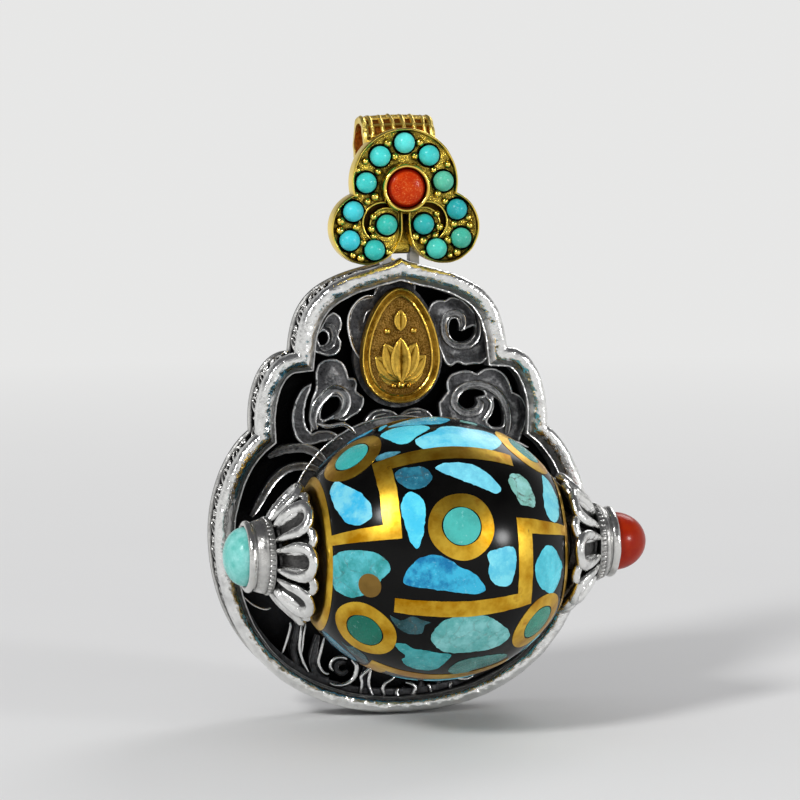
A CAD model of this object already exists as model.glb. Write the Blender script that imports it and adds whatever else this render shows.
# %% [markdown]
# # A prayer wheel pendant, dressed
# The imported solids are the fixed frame: they say where each piece is, and how the bail, the case and the
# wheel move. This lesson gives those solids their jeweller's detail: mouldings, filigree, cloud scrolls,
# petals, granules and flush inlay, and a finish for each metal and stone.

# %% Open the frame
import math

import bmesh
import bpy
import numpy as np
from mathutils import Matrix, Vector, noise
from mathutils.geometry import delaunay_2d_cdt, tessellate_polygon


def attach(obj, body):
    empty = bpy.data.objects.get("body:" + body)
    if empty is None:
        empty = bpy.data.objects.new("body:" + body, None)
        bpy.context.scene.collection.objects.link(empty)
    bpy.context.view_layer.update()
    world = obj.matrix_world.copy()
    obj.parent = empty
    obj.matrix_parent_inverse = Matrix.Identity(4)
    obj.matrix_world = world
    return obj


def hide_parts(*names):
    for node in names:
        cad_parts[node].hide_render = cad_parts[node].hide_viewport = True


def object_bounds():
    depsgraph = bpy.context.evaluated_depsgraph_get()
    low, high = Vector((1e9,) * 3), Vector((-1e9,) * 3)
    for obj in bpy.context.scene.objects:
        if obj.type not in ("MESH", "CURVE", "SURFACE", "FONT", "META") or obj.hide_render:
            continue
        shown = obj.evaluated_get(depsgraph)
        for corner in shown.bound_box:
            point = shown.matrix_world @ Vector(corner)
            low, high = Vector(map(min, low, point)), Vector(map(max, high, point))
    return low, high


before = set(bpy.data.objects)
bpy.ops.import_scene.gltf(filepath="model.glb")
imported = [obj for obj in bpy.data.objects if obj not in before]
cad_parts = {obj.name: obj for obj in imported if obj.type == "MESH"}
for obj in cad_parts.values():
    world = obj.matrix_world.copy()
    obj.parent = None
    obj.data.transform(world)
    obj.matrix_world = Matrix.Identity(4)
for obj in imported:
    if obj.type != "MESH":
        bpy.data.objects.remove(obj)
frame_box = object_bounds()

# %% [markdown]
# ## One drawing board
# A jeweller measures this pendant in millimetres from the middle of the wheel, and the frame is in metres
# from the middle of the cord's bore. One small function turns the first into the second. X runs along the
# axle, Y goes back into the case, and Z is up.

# %% Millimetres about the wheel
MM = 0.001
CORD_BORE = np.array([0, 12.05, 33.4])


def metres(points):
    return (np.asarray(points, float).reshape(-1, 3) - CORD_BORE) * MM


low, high = (np.array(corner) / MM + CORD_BORE for corner in frame_box)
print("the pendant in mm about the wheel:", low.round(2), high.round(2))

# %% [markdown]
# ## The camera
# The camera stands a third of a metre off, a little to the left and above, and is rolled by half a
# degree. Its aim is worked out from where the wheel's middle lies in an 800 by 800 picture, so no lens
# shift is needed.

# %% Camera
AZIMUTH, ELEVATION, ROLL = 0.2392663, 0.1355491, -0.0104129
FOCAL_PIXELS, PICTURE = 4001.25, 800
WHEEL_PIXEL = (431.589, 548.665)
STAND = np.array([-78.30, -320.97, 45.06])

forward = np.array([
    math.sin(AZIMUTH) * math.cos(ELEVATION), math.cos(AZIMUTH) * math.cos(ELEVATION), -math.sin(ELEVATION),
])
level = np.array([math.cos(AZIMUTH), -math.sin(AZIMUTH), 0])
upright = np.cross(level, forward)
right = level * math.cos(ROLL) + upright * math.sin(ROLL)
above = upright * math.cos(ROLL) - level * math.sin(ROLL)
aim = forward + right * (PICTURE / 2 - WHEEL_PIXEL[0]) / FOCAL_PIXELS
aim = aim + above * (WHEEL_PIXEL[1] - PICTURE / 2) / FOCAL_PIXELS
aim /= np.linalg.norm(aim)
right = right - aim * right.dot(aim)
right /= np.linalg.norm(right)

camera_data = bpy.data.cameras.new("camera")
camera_data.sensor_width = 36
camera_data.lens = FOCAL_PIXELS / PICTURE * camera_data.sensor_width
camera_data.clip_start, camera_data.clip_end = 0.01, 20
camera = bpy.data.objects.new("camera", camera_data)
bpy.context.scene.collection.objects.link(camera)
facing = Matrix((right, np.cross(right, aim), -aim)).transposed().to_4x4()
camera.matrix_world = Matrix.Translation(metres(STAND)[0]) @ facing
bpy.context.scene.camera = camera
bpy.context.scene.view_settings.view_transform = "Standard"
print("lens in mm:", round(camera_data.lens, 2))

# %% [markdown]
# ## Writing nodes as sentences
# Finishes and repeated forms are node trees. One small class wraps a socket, so that `1 - hollow * 0.5`
# adds the Math nodes by itself, and one method adds any other node: its settings first, then the values
# or links of its sockets.

# %% A socket that takes arithmetic
class Wire:
    def __init__(self, book, socket):
        self.book, self.socket = book, socket

    def math(self, operation, *values, clamp=False):
        settings = {"operation": operation, "use_clamp": clamp}
        return self.book.node("ShaderNodeMath", settings, dict(enumerate(values)))

    __add__ = __radd__ = lambda self, other: self.math("ADD", self, other)
    __mul__ = __rmul__ = lambda self, other: self.math("MULTIPLY", self, other)
    __sub__ = lambda self, other: self.math("SUBTRACT", self, other)
    __rsub__ = lambda self, other: self.math("SUBTRACT", other, self)
    __truediv__ = lambda self, other: self.math("DIVIDE", self, other)

    def clamped(self):
        return self.math("ADD", self, 0, clamp=True)

    def between(self, start, end):
        """0 below start, 1 above end, and a straight slope between them."""
        return self.math("DIVIDE", self - start, end - start, clamp=True)

    def output(self, name):
        return Wire(self.book, self.socket.node.outputs[name])


# %% A book of nodes
class Nodes:
    def __init__(self, tree):
        self.tree = tree

    def node(self, kind, settings=None, values=None, out=0):
        node = self.tree.nodes.new(kind)
        for name, value in (settings or {}).items():
            setattr(node, name, value)
        for name, value in (values or {}).items():
            socket = node.inputs[name]
            if isinstance(value, Wire):
                self.tree.links.new(value.socket, socket)
            elif socket.type == "RGBA" and len(value) == 3:
                socket.default_value = (*value, 1)
            else:
                socket.default_value = value
        return Wire(self, node.outputs[out]) if node.outputs else None

    def mix(self, share, first, second):
        """A Mix node keeps its colour sockets at 6 and 7, and gives them out at 2."""
        return self.node("ShaderNodeMix", {"data_type": "RGBA"}, {0: share, 6: first, 7: second}, out=2)

    def place(self):
        """Object coordinates: here these are metres in the frame, for every piece."""
        return self.node("ShaderNodeTexCoord", out="Object")

    def noise(self, size, detail=3, roughness=0.5, at=None):
        """Noise whose lumps are about size millimetres across."""
        values = {"Vector": at or self.place(), "Scale": 1 / (size * MM), "Detail": detail}
        return self.node("ShaderNodeTexNoise", {}, values | {"Roughness": roughness})

    def bump(self, height, strength, rise):
        """Fine unevenness; rise is in millimetres."""
        values = {"Height": height, "Strength": strength, "Distance": rise * MM}
        return self.node("ShaderNodeBump", {}, values)

    def attribute(self, name, out="Fac"):
        return self.node("ShaderNodeAttribute", {"attribute_name": name}, out=out)


def tone(red, green, blue):
    """A colour as a screen shows it, 0 to 255, turned into light."""
    shares = (level / 255 for level in (red, green, blue))
    return tuple(s / 12.92 if s <= 0.04045 else ((s + 0.055) / 1.055) ** 2.4 for s in shares)


def finish(name, describe, **constants):
    """describe() gives what changes over the surface, constants set the other sockets."""
    material = bpy.data.materials.new(name)
    material.use_nodes = True
    material.node_tree.nodes.clear()
    book = Nodes(material.node_tree)
    values = {key.replace("_", " "): value for key, value in constants.items()}
    surface = book.node("ShaderNodeBsdfPrincipled", {}, values | describe(book))
    book.node("ShaderNodeOutputMaterial", {}, {"Surface": surface})
    material.diffuse_color = (0.5, 0.5, 0.5, 1)
    return material

# %% [markdown]
# ## Metals that have been worn
# Cast silver is blackened in a bath and then rubbed: what stands out shines and what lies deep stays
# dark. So the finish asks the surface itself how shut in each point is, over a reach of a millimetre or
# so. Worn metal reads only its hollows; rubbed metal also reads a mark on its points that says where a
# polisher's thumb would reach.

# %% Metal finishes
def hollow(book, reach, depth=0.5):
    """How shut in a point is, from 0 in the open to 1 in a deep hollow."""
    settings = {"samples": 8, "only_local": False, "inside": False}
    open_share = book.node("ShaderNodeAmbientOcclusion", settings, {"Distance": reach * MM}, out="AO")
    return (1 - open_share).between(0.06, depth)


def worn_metal(name, bright, dark, reach=1.0, depth=0.5, shine=0.16, dull=0.45, grain=0.05, lump=0.25,
               stain=0.2, relief=0.1):
    """Bright metal that turns dark in its hollows; lump and relief size its fine unevenness in mm."""
    bright, dark = tone(*bright), tone(*dark)

    def describe(book):
        shut = hollow(book, reach, depth)
        cloudy = book.noise(1.1, 4, 0.6)
        fine = book.noise(lump, 3, 0.6)
        dirt = (shut + stain * (cloudy - 0.42) + 0.25 * (fine - 0.5) * shut).clamped()
        colour = book.mix(dirt, bright, dark)
        bump = book.bump(fine, grain, relief)
        rough = shine + (dull - shine) * dirt + 0.12 * (cloudy - 0.5)
        return {"Base Color": colour, "Roughness": rough, "Normal": bump}

    return finish(name, describe, Metallic=1)


def rubbed_metal(name, bright, sunk, deep, reach=1.0, depth=0.6, shine=0.18, grain=0.6, lump=0.2):
    """Metal with a "lip" mark on its points: 1 where it is rubbed bright, 0 where it stayed dark."""
    bright, sunk, deep = tone(*bright), tone(*sunk), tone(*deep)

    def describe(book):
        lip = book.attribute("lip")
        shut = hollow(book, reach, depth)
        cloudy = book.noise(1.3, 4, 0.6)
        fine = book.noise(lump, 3, 0.65)
        rubbed = (lip + 0.5 * (cloudy - 0.5) + 0.3 * (fine - 0.5) - 0.25 * shut).between(0.25, 0.8)
        low = book.mix(fine.between(0.25, 0.8) * 0.5 + cloudy.between(0.3, 0.7) * 0.5, deep, sunk)
        colour = book.mix(rubbed, low, book.mix(cloudy.between(0.5, 0.75) * 0.5, bright, sunk))
        colour = book.mix((shut * 1.15 - 0.1).clamped(), colour, deep)
        height = fine * (1 - 0.75 * rubbed) + 1.6 * book.noise(1.0, 2)
        bump = book.bump(height, grain, 0.12)
        rough = 0.55 - (0.55 - shine) * rubbed + 0.12 * (cloudy - 0.5)
        return {"Base Color": colour, "Roughness": rough, "Normal": bump}

    return finish(name, describe, Metallic=1)


# %% Silver: colours as a screen shows them, then the reach in mm and the depth at which a hollow is darkest
SILVER, WHITE_SILVER = (224, 223, 220), (240, 240, 238)
rim_silver = rubbed_metal("rim_silver", WHITE_SILVER, (146, 146, 146), (60, 60, 62), 0.8, 1.0,
                          shine=0.2, grain=1.0, lump=0.3)
lace_silver = worn_metal("lace_silver", SILVER, (30, 30, 31), 0.6, 0.5, shine=0.22, grain=0.15, stain=0.35)
wall_silver = rubbed_metal("wall_silver", SILVER, (48, 48, 50), (12, 12, 13), 0.7, 0.5, shine=0.25, grain=0.5)
petal_silver = rubbed_metal("petal_silver", WHITE_SILVER, (112, 111, 110), (28, 28, 29), 0.9, 0.85,
                            shine=0.2, grain=0.8, lump=0.22)
bezel_silver = rubbed_metal("bezel_silver", SILVER, (150, 149, 147), (52, 52, 52), 0.7, 0.9,
                            shine=0.19, grain=0.7, lump=0.3)
panel_silver = rubbed_metal("panel_silver", (226, 226, 225), (122, 122, 124), (26, 26, 28), 1.1, 0.9,
                            shine=0.27, grain=0.7, lump=0.24)
lip_silver = worn_metal("lip_silver", (236, 236, 235), (90, 90, 92), 0.6, 0.95,
                        shine=0.2, grain=0.3, lump=0.3, stain=0.7)
plain_silver = worn_metal("plain_silver", (184, 184, 183), (62, 62, 64), 1.0, 0.8,
                          shine=0.32, grain=0.3, lump=0.2, stain=0.18)
void_black = worn_metal("void_black", (46, 46, 48), (10, 10, 10), 3.0, 0.6, shine=0.45, dull=0.6, grain=0.8)

# %% Gold, brass and bronze
gold_polished = worn_metal("gold_polished", (255, 224, 104), (74, 50, 8), 0.6, 0.65,
                           shine=0.16, stain=0.45, grain=0.25, lump=0.35)
gold_field = worn_metal("gold_field", (250, 216, 90), (48, 36, 8), 0.8, 0.6,
                        shine=0.18, dull=0.42, stain=0.9, grain=1.0, lump=0.42, relief=0.32)
gold_plaque = rubbed_metal("gold_plaque", (236, 194, 84), (156, 110, 22), (64, 42, 8), 0.6, 0.8,
                           shine=0.22, grain=0.5, lump=0.25)
seat_black = worn_metal("seat_black", (60, 52, 24), (12, 10, 6), 0.6, 0.4, shine=0.4)
hollow_gold = worn_metal("hollow_gold", (132, 92, 36), (36, 24, 8), 0.9, 0.7, shine=0.4, grain=0.5)
tube_red = worn_metal("tube_red", (206, 128, 48), (124, 62, 18), 0.5, 0.8, shine=0.42, grain=0.6, stain=0.5)
tube_gold = worn_metal("tube_gold", (246, 218, 112), (150, 106, 32), 0.5, 0.9,
                       shine=0.36, dull=0.5, grain=0.7, lump=0.3, stain=0.35)
brass_turned = worn_metal("brass_turned", (196, 160, 90), (80, 58, 30), 1.0, 0.8, shine=0.25)
bronze = worn_metal("bronze", (142, 112, 58), (84, 62, 26), 1.0, 0.8, shine=0.45, dull=0.6, stain=0.8)
print("metal finishes:", len(bpy.data.materials))

# %% [markdown]
# ## Sandy gold
# The plaque's field was punched with a fine matting tool. Modelling each dent would cost a million faces,
# so a noise of a tenth of a millimetre, used for the colour and for a bump, stands in for them.


# %% Sandy gold of the plaque's field
def describe_sand(book):
    grains = book.noise(0.11, 3, 0.7)
    cloudy = book.noise(1.0, 3, 0.6)
    shut = hollow(book, 0.5, 0.7)
    light = (grains + 0.3 * (cloudy - 0.5)).between(0.42, 0.6)
    colour = book.mix(light, tone(100, 70, 20), tone(178, 138, 68))
    colour = book.mix(shut * 0.8, colour, tone(58, 36, 8))
    bump = book.bump(grains, 1.0, 0.12)
    return {"Base Color": colour, "Roughness": 0.5 - 0.15 * grains, "Normal": bump}


gold_sand = finish("gold_sand", describe_sand, Metallic=1)

# %% [markdown]
# ## Stones under a polish
# Each chip of turquoise has its own tint, kept as an attribute on its points. The finish adds what every
# turquoise has: cloudy patches, pale flecks and thin brown veins of the rock that it grew in.


# %% Stone finishes
PALE_FLECK, BROWN_VEIN, VEIN_CELLS, VEIN_WARP = (0.62, 0.9, 0.9), (78, 58, 34), 620, 0.0012


def describe_turquoise(book):
    tint, deep = book.attribute("tint", "Color"), book.attribute("deep", "Color")
    matrix = book.attribute("matrix")
    place = book.place()
    cloudy = book.noise(1.5, 5, 0.62, place)
    fleck = book.noise(0.35, 4, 0.7, place)
    colour = book.mix((cloudy + 0.25 * (fleck - 0.5)).between(0.4, 0.6), deep, tint)
    colour = book.mix(fleck.between(0.6, 0.72) * 0.3, colour, PALE_FLECK)
    warp = book.node("ShaderNodeVectorMath", {"operation": "MULTIPLY_ADD"},
                     {0: cloudy.output("Color"), 1: (VEIN_WARP,) * 3, 2: place})
    cells = book.node("ShaderNodeTexVoronoi", {"feature": "DISTANCE_TO_EDGE"},
                      {"Vector": warp, "Scale": VEIN_CELLS})
    vein = (1 - cells.between(0.0, 0.06)) * matrix * fleck.between(0.4, 0.6)
    colour = book.mix(vein.clamped(), colour, tone(*BROWN_VEIN))
    return {"Base Color": colour, "Roughness": 0.2 + 0.12 * (1 - fleck.between(0.3, 0.7))}


turquoise = finish("turquoise_set", describe_turquoise, Coat_Weight=0.1, Coat_Roughness=0.06,
                   Specular_IOR_Level=0.22)


def describe_jet(book):
    haze = book.noise(2.5, 4, 0.6)
    colour = book.mix(haze.between(0.35, 0.7), (0.0016, 0.0015, 0.0014), (0.004, 0.0038, 0.0034))
    return {"Base Color": colour, "Roughness": 0.15 + 0.06 * haze}


jet = finish("black_resin", describe_jet, Specular_IOR_Level=0.15)


def coral_finish(name, flecks, **constants):
    """Red coral, darker where its points carry an "edge" mark; flecks is how strongly its pale pores show."""
    def describe(book):
        place = book.place()
        cloudy = book.noise(1.2, 4, 0.6, place)
        pore = book.noise(0.14, 3, 0.7, place)
        colour = book.mix(cloudy.between(0.3, 0.7), tone(180, 36, 3), tone(206, 66, 8))
        colour = book.mix(pore.between(0.55, 0.66) * flecks, colour, tone(232, 138, 70))
        colour = book.mix(book.attribute("edge"), colour, tone(122, 12, 2))
        bump = book.bump(pore, 0.17 * flecks, 0.05)
        return {"Base Color": colour, "Roughness": 0.22 + 0.15 * pore, "Normal": bump}

    return finish(name, describe, **constants)


coral = coral_finish("coral_polished", 0.7, Coat_Weight=0.1, Coat_Roughness=0.1, Specular_IOR_Level=0.06)
coral_smooth = coral_finish("coral_smooth", 0.06, Coat_Weight=0.28, Coat_Roughness=0.17,
                            Specular_IOR_Level=0.06)


def describe_inlay(book):
    place = book.place()
    blotch = book.noise(2.6, 4, 0.6, place)
    fine = book.noise(0.22, 3, 0.7, place)
    colour = book.mix(blotch.between(0.36, 0.6), tone(186, 130, 14), tone(234, 192, 66))
    colour = book.mix(blotch.between(0.62, 0.72) * 0.6, colour, tone(172, 90, 10))
    colour = book.mix(fine.between(0.62, 0.75) * 0.35, colour, tone(120, 78, 16))
    colour = book.mix(hollow(book, 2.2, 0.75) * 0.8, colour, tone(70, 44, 8))
    bump = book.bump(fine, 0.16, 0.05)
    return {"Base Color": colour, "Roughness": 0.24 + 0.2 * fine, "Normal": bump}


inlay_gold = finish("inlay_gold", describe_inlay, Metallic=1)
print("finishes:", ", ".join(sorted(m.name for m in bpy.data.materials if m.use_nodes)))

# %% [markdown]
# ## Stock to cut pieces from
# Most pieces are skins over rings of points, as a smith raises a form over rings of wire. `Stock` gathers
# such skins, and `new_piece` turns them into an object that rides on its body and stands for its solid.


# %% Skins over rings
noise.seed_set(7)  # noise_vector would start from the clock otherwise, and differ from run to run


class Stock:
    def __init__(self):
        self.points, self.faces, self.marks = [], [], []

    def add(self, points, faces, **marks):
        start = len(self.points)
        self.points.extend(map(tuple, points))
        self.faces.extend(tuple(start + corner for corner in face) for face in faces)
        self.marks.extend([marks] * len(points))
        return self

    def loft(self, rings, around=True, closed=False, caps=False, lips=None, **marks):
        """A skin over rings; lips gives each ring a "lip" mark of its own."""
        start = len(self.points)
        rings = [np.asarray(ring, float) for ring in rings]
        n, count = len(rings[0]), len(rings)
        faces = []
        for i in range(count if closed else count - 1):
            a, b = i * n, (i + 1) % count * n
            for k in range(n if around else n - 1):
                j = (k + 1) % n
                faces.append((a + k, a + j, b + j, b + k))
        if caps:
            faces.append(tuple(range(n))[::-1])
            faces.append(tuple((count - 1) * n + k for k in range(n)))
        self.add(np.concatenate(rings), faces, **marks)
        for i, lip in enumerate(() if lips is None else lips):
            self.marks[start + i * n:start + (i + 1) * n] = [{**marks, "lip": float(lip)}] * n
        return self

    def mark_values(self):
        names = sorted({name for marks in self.marks for name in marks} - {"tint", "deep"})
        return {name: [marks.get(name, 0.0) for marks in self.marks] for name in names}

    def gather(self, mesh):
        start, count = len(self.points), len(mesh.vertices)
        points = np.zeros(count * 3)
        mesh.vertices.foreach_get("co", points)
        self.add(points.reshape(-1, 3) / MM + CORD_BORE, [tuple(face.vertices) for face in mesh.polygons])
        if "lip" in mesh.attributes:
            values = np.zeros(count)
            mesh.attributes["lip"].data.foreach_get("value", values)
            self.marks[start:] = [{"lip": float(value)} for value in values]
        return self

    def hand_made(self, amount, size, back=99):
        """Shifts the points a little by smooth noise, as hand work would; those behind the back stay."""
        def shifted(point):
            point = Vector(point)
            return point + noise.noise_vector(point / size) * (amount if point.y < back else 0)

        self.points = [tuple(shifted(p)) for p in self.points]
        return self


WELD, SLIVER = 0.002 * MM, 0.001 * MM


def finished_mesh(mesh, sharp=35):
    """Merges doubles, turns every face outwards and shades it smooth up to an angle."""
    shape = bmesh.new()
    shape.from_mesh(mesh)
    bmesh.ops.remove_doubles(shape, verts=shape.verts, dist=WELD)
    bmesh.ops.dissolve_degenerate(shape, edges=shape.edges, dist=SLIVER)
    bmesh.ops.recalc_face_normals(shape, faces=shape.faces)
    shape.to_mesh(mesh)
    shape.free()
    mesh.shade_smooth()
    mesh.set_sharp_from_angle(angle=math.radians(sharp))


def settle(name, mesh, body, replaces=()):
    """Puts a finished mesh on a body as the piece that stands for some solids."""
    piece = bpy.data.objects.new(name, mesh)
    bpy.context.scene.collection.objects.link(piece)
    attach(piece, body)
    if replaces:
        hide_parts(*replaces)
    triangles = sum(len(face.vertices) - 2 for face in mesh.polygons)
    print(f"{name}: {triangles} triangles, rides on the {body}")
    return piece


BLANK_STONE = (0.2, 0.6, 0.6, 1)


def new_piece(name, stock, material, body, replaces=(), sharp=35):
    mesh = bpy.data.meshes.new(name)
    mesh.from_pydata(metres(stock.points).tolist(), [], stock.faces)
    for mark in sorted({mark for marks in stock.marks for mark in marks}):
        coloured = mark in ("tint", "deep")
        kind, field = ("FLOAT_COLOR", "color") if coloured else ("FLOAT", "value")
        blank = BLANK_STONE if coloured else 0.0
        layer = mesh.attributes.new(mark, kind, "POINT")
        values = [marks.get(mark, blank) for marks in stock.marks]
        layer.data.foreach_set(field, np.array(values, np.float32).ravel())
    finished_mesh(mesh, sharp)
    mesh.materials.append(material)
    return settle(name, mesh, body, replaces)


# %% Rings
def turned_ring(radius, along, segments, axis="x", middle=(0, 0, 0)):
    angle = np.linspace(0, 2 * math.pi, segments, endpoint=False)
    u, v = radius * np.cos(angle), radius * np.sin(angle)
    flat = np.full(segments, float(along))
    ring = np.stack([flat, -u, v] if axis == "x" else [u, flat, v], 1)
    return ring + np.array(middle)


def turned(profile, segments=48, axis="x", middle=(0, 0, 0)):
    """The rings of a lathe-turned skin, from (radius, place along the axis) pairs."""
    return [turned_ring(max(r, 1e-5), along, segments, axis, middle) for r, along in profile]


BALL_SIDES, BALL_RINGS = 8, 6


def ball(radius, depth, place):
    return [turned_ring(max(radius * math.sin(a), 1e-4), place[1] + depth * math.cos(a), BALL_SIDES, "y",
                        (place[0], 0, place[2])) for a in np.linspace(0, math.pi, BALL_RINGS)]


def smooth_line(points, steps, closed=False):
    """A Catmull-Rom line through points, each a row of numbers."""
    points = np.asarray(points, float)
    if closed:
        padded = np.vstack([points[-1:], points, points[:2]])
    else:
        padded = np.vstack([2 * points[:1] - points[1:2], points, 2 * points[-1:] - points[-2:-1]])
    line = []
    for a, b, c, d in zip(padded, padded[1:], padded[2:], padded[3:]):
        for t in np.linspace(0, 1, steps, endpoint=False):
            line.append(0.5 * (2 * b + (c - a) * t + (2 * a - 5 * b + 4 * c - d) * t**2
                               + (3 * b - a - 3 * c + d) * t**3))
    if not closed:
        line.append(points[-1])
    return np.array(line)


def strokes(text):
    """Drawn lines as (name, points): each line is a word with its points after it, as across,up."""
    lines = []
    for word in text.split():
        if "," in word:
            lines[-1][1].append(tuple(map(float, word.split(","))))
        else:
            lines.append((word, []))
    return lines


def bezier(a, b, c, d, t):
    """Points at the shares t of a curve from a to d that is pulled towards b and then c."""
    return (1 - t) ** 3 * a + 3 * (1 - t) ** 2 * t * b + 3 * (1 - t) * t**2 * c + t**3 * d

# %% [markdown]
# ## The case's outline
# The case is a round body with two lobes down each side and an ogee point on top, drawn as smooth curves
# that meet in cusps. Every moulding is this line drawn in by some distance, with mitred corners, as a
# frame maker would cut them.

# %% Outline of the case: where its curves meet, and each curve's pull in shares of its width and height
CASE_BOTTOM = -15.5
PLACES = np.array([(0, CASE_BOTTOM), (16.4, 0), (12.75, 9), (9.25, 15.8), (6, 21.6), (0, 23.65)])
HANDLES = [(0.604, 0, 1, 0.4), (0, 0.467, 0.493, 0.844), (-0.07, 0.53, 0.33, 0.985),
           (0.077, 0.483, 0.323, 0.793), (0.4, 0.634, 0.783, 0.634)]
CURVE_STEPS = (60, 28, 28, 24, 20)


def curved(start, end, handles, steps):
    """One curve of the outline; handles give its pull at the start and at the end."""
    first, second = start + (end - start) * handles[:2], start + (end - start) * handles[2:]
    return bezier(start, first, second, end, np.linspace(0, 1, steps, endpoint=False)[:, None])


right_side = np.vstack([
    curved(a, b, np.array(h), n) for a, b, h, n in zip(PLACES, PLACES[1:], HANDLES, CURVE_STEPS)
])
left_side = right_side[1:][::-1] * (-1, 1)
outline = np.vstack([right_side, PLACES[-1:], left_side])
TIP = len(right_side)
print("outline points:", len(outline))


def inset(loop, distance):
    """A closed line drawn in by a distance, with mitred corners."""
    before, after = np.roll(loop, 1, 0), np.roll(loop, -1, 0)
    along, ahead = loop - before, after - loop
    along /= np.linalg.norm(along, axis=1)[:, None]
    ahead /= np.linalg.norm(ahead, axis=1)[:, None]
    inward = np.stack([-along[:, 1] - ahead[:, 1], along[:, 0] + ahead[:, 0]], 1)
    inward /= np.linalg.norm(inward, axis=1)[:, None]
    mitre = (inward * np.stack([-along[:, 1], along[:, 0]], 1)).sum(1)
    return loop + inward * (distance / mitre)[:, None]


def case_ring(distance, depth):
    """The outline drawn in by a distance, at a depth. Points that cross at the tip are gathered there."""
    drawn = inset(outline, distance)
    crossed = (drawn[:, 0] < 0) != (outline[:, 0] < 0)
    crossed[TIP] = False
    drawn[crossed & (outline[:, 1] > 0)] = drawn[TIP]
    return np.stack([drawn[:, 0], np.full(len(drawn), float(depth)), drawn[:, 1]], 1)


# %% [markdown]
# ## Front rim
# On the real case the rim is one cast moulding: a broad polished ridge, a duller slope, and a thin lip
# along the opening. A bevelled curve would twist at the cusps, so one cross-section is swept along the
# outline and each ring of the sweep is mitred. Soft noise takes away the look of a machine.

# %% Rim: how far in from the outline, how deep, and how rubbed
RIM_SECTION = [
    (0.0, 10.55, 0.6), (0.0, 9.98, 0.8), (0.03, 9.8, 1), (0.1, 9.63, 1), (0.22, 9.5, 1), (0.38, 9.42, 1),
    (0.55, 9.4, 1), (0.75, 9.42, 1), (0.93, 9.47, 1), (1.06, 9.54, 0.9), (1.16, 9.62, 0.75),
    (1.28, 9.74, 0.6), (1.42, 9.89, 0.5), (1.52, 10.01, 0.4), (1.58, 10.05, 0.5), (1.63, 10.02, 0.7),
    (1.69, 10.02, 0.65), (1.74, 10.1, 0.4), (1.75, 10.55, 0.1),
]
SLOPE_START, LOW_SLOPE_SHARE = 1.1, 0.35
NARROW_BELOW, NARROWED_OVER = -4, 6


def rim_ring(distance, depth):
    """The slope inside the ridge is narrower at the bottom of the case."""
    wide = case_ring(distance, depth)
    narrow = case_ring(min(distance, SLOPE_START + (distance - SLOPE_START) * LOW_SLOPE_SHARE), depth)
    low = np.clip((NARROW_BELOW - wide[:, 2:]) / NARROWED_OVER, 0, 1)
    return wide + (narrow - wide) * low


rim = Stock().loft([rim_ring(d, y) for d, y, lip in RIM_SECTION], closed=True,
                   lips=[lip for d, y, lip in RIM_SECTION]).hand_made(0.05, 1.3).hand_made(0.025, 0.5)
rim.points = [(x, y, max(z, CASE_BOTTOM)) for x, y, z in rim.points]
new_piece("rim_moulding", rim, rim_silver, "case", ["front_rim"])

# %% [markdown]
# ## Repeats along a path
# Lace, granules, teeth and ribs are one small form many times over. A Geometry Nodes tree copies the unit
# to every point, turned with the path, makes the copies real and gives them their finish. The result is
# kept as a plain mesh, as a caster keeps only the metal.


# %% A tree that copies a unit onto points
def grown(name, kinds, write):
    """A geometry tree with named inputs; write() gets its book and inputs and returns the geometry."""
    tree = bpy.data.node_groups.new(name, "GeometryNodeTree")
    names = {label: tree.interface.new_socket(label, in_out="INPUT", socket_type=kind).identifier
             for label, kind in kinds.items()}
    tree.interface.new_socket("Geometry", in_out="OUTPUT", socket_type="NodeSocketGeometry")
    book = Nodes(tree)
    entry = book.node("NodeGroupInput")
    inputs = {label: entry.output(label) for label in kinds}
    shape = write(book, inputs)
    whole = book.node("GeometryNodeRealizeInstances", {}, {"Geometry": shape})
    dressed = book.node("GeometryNodeSetMaterial", {}, {"Geometry": whole, "Material": inputs["Finish"]})
    book.node("NodeGroupOutput", {}, {"Geometry": dressed})
    print("tree:", name, "with inputs", ", ".join(kinds))
    return tree, names


def grow(name, made, source, values, sharp=40):
    """Runs a tree on a source object and returns the plain mesh it gives."""
    tree, names = made
    modifier = source.modifiers.new("grow", "NODES")
    modifier.node_group = tree
    for label, value in values.items():
        modifier[names[label]] = value
    bpy.context.view_layer.update()
    evaluated = source.evaluated_get(bpy.context.evaluated_depsgraph_get())
    mesh = bpy.data.meshes.new_from_object(evaluated)
    mesh.name = name
    source.modifiers.remove(modifier)
    finished_mesh(mesh, sharp)
    return mesh


def scratch(name, points, edges=(), faces=(), **marks):
    """A mesh object that only feeds a tree, in metres of the frame."""
    mesh = bpy.data.meshes.new(name)
    mesh.from_pydata([tuple(p) for p in points], list(edges), list(faces))
    for mark, values in marks.items():
        values = np.asarray(values, np.float32)
        kind, field = ("FLOAT_VECTOR", "vector") if values.ndim == 2 else ("FLOAT", "value")
        mesh.attributes.new(mark, kind, "POINT").data.foreach_set(field, values.ravel())
    thing = bpy.data.objects.new(name, mesh)
    bpy.context.scene.collection.objects.link(thing)
    return thing


def clear(*things):
    for thing in things:
        bpy.data.objects.remove(thing)


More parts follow.
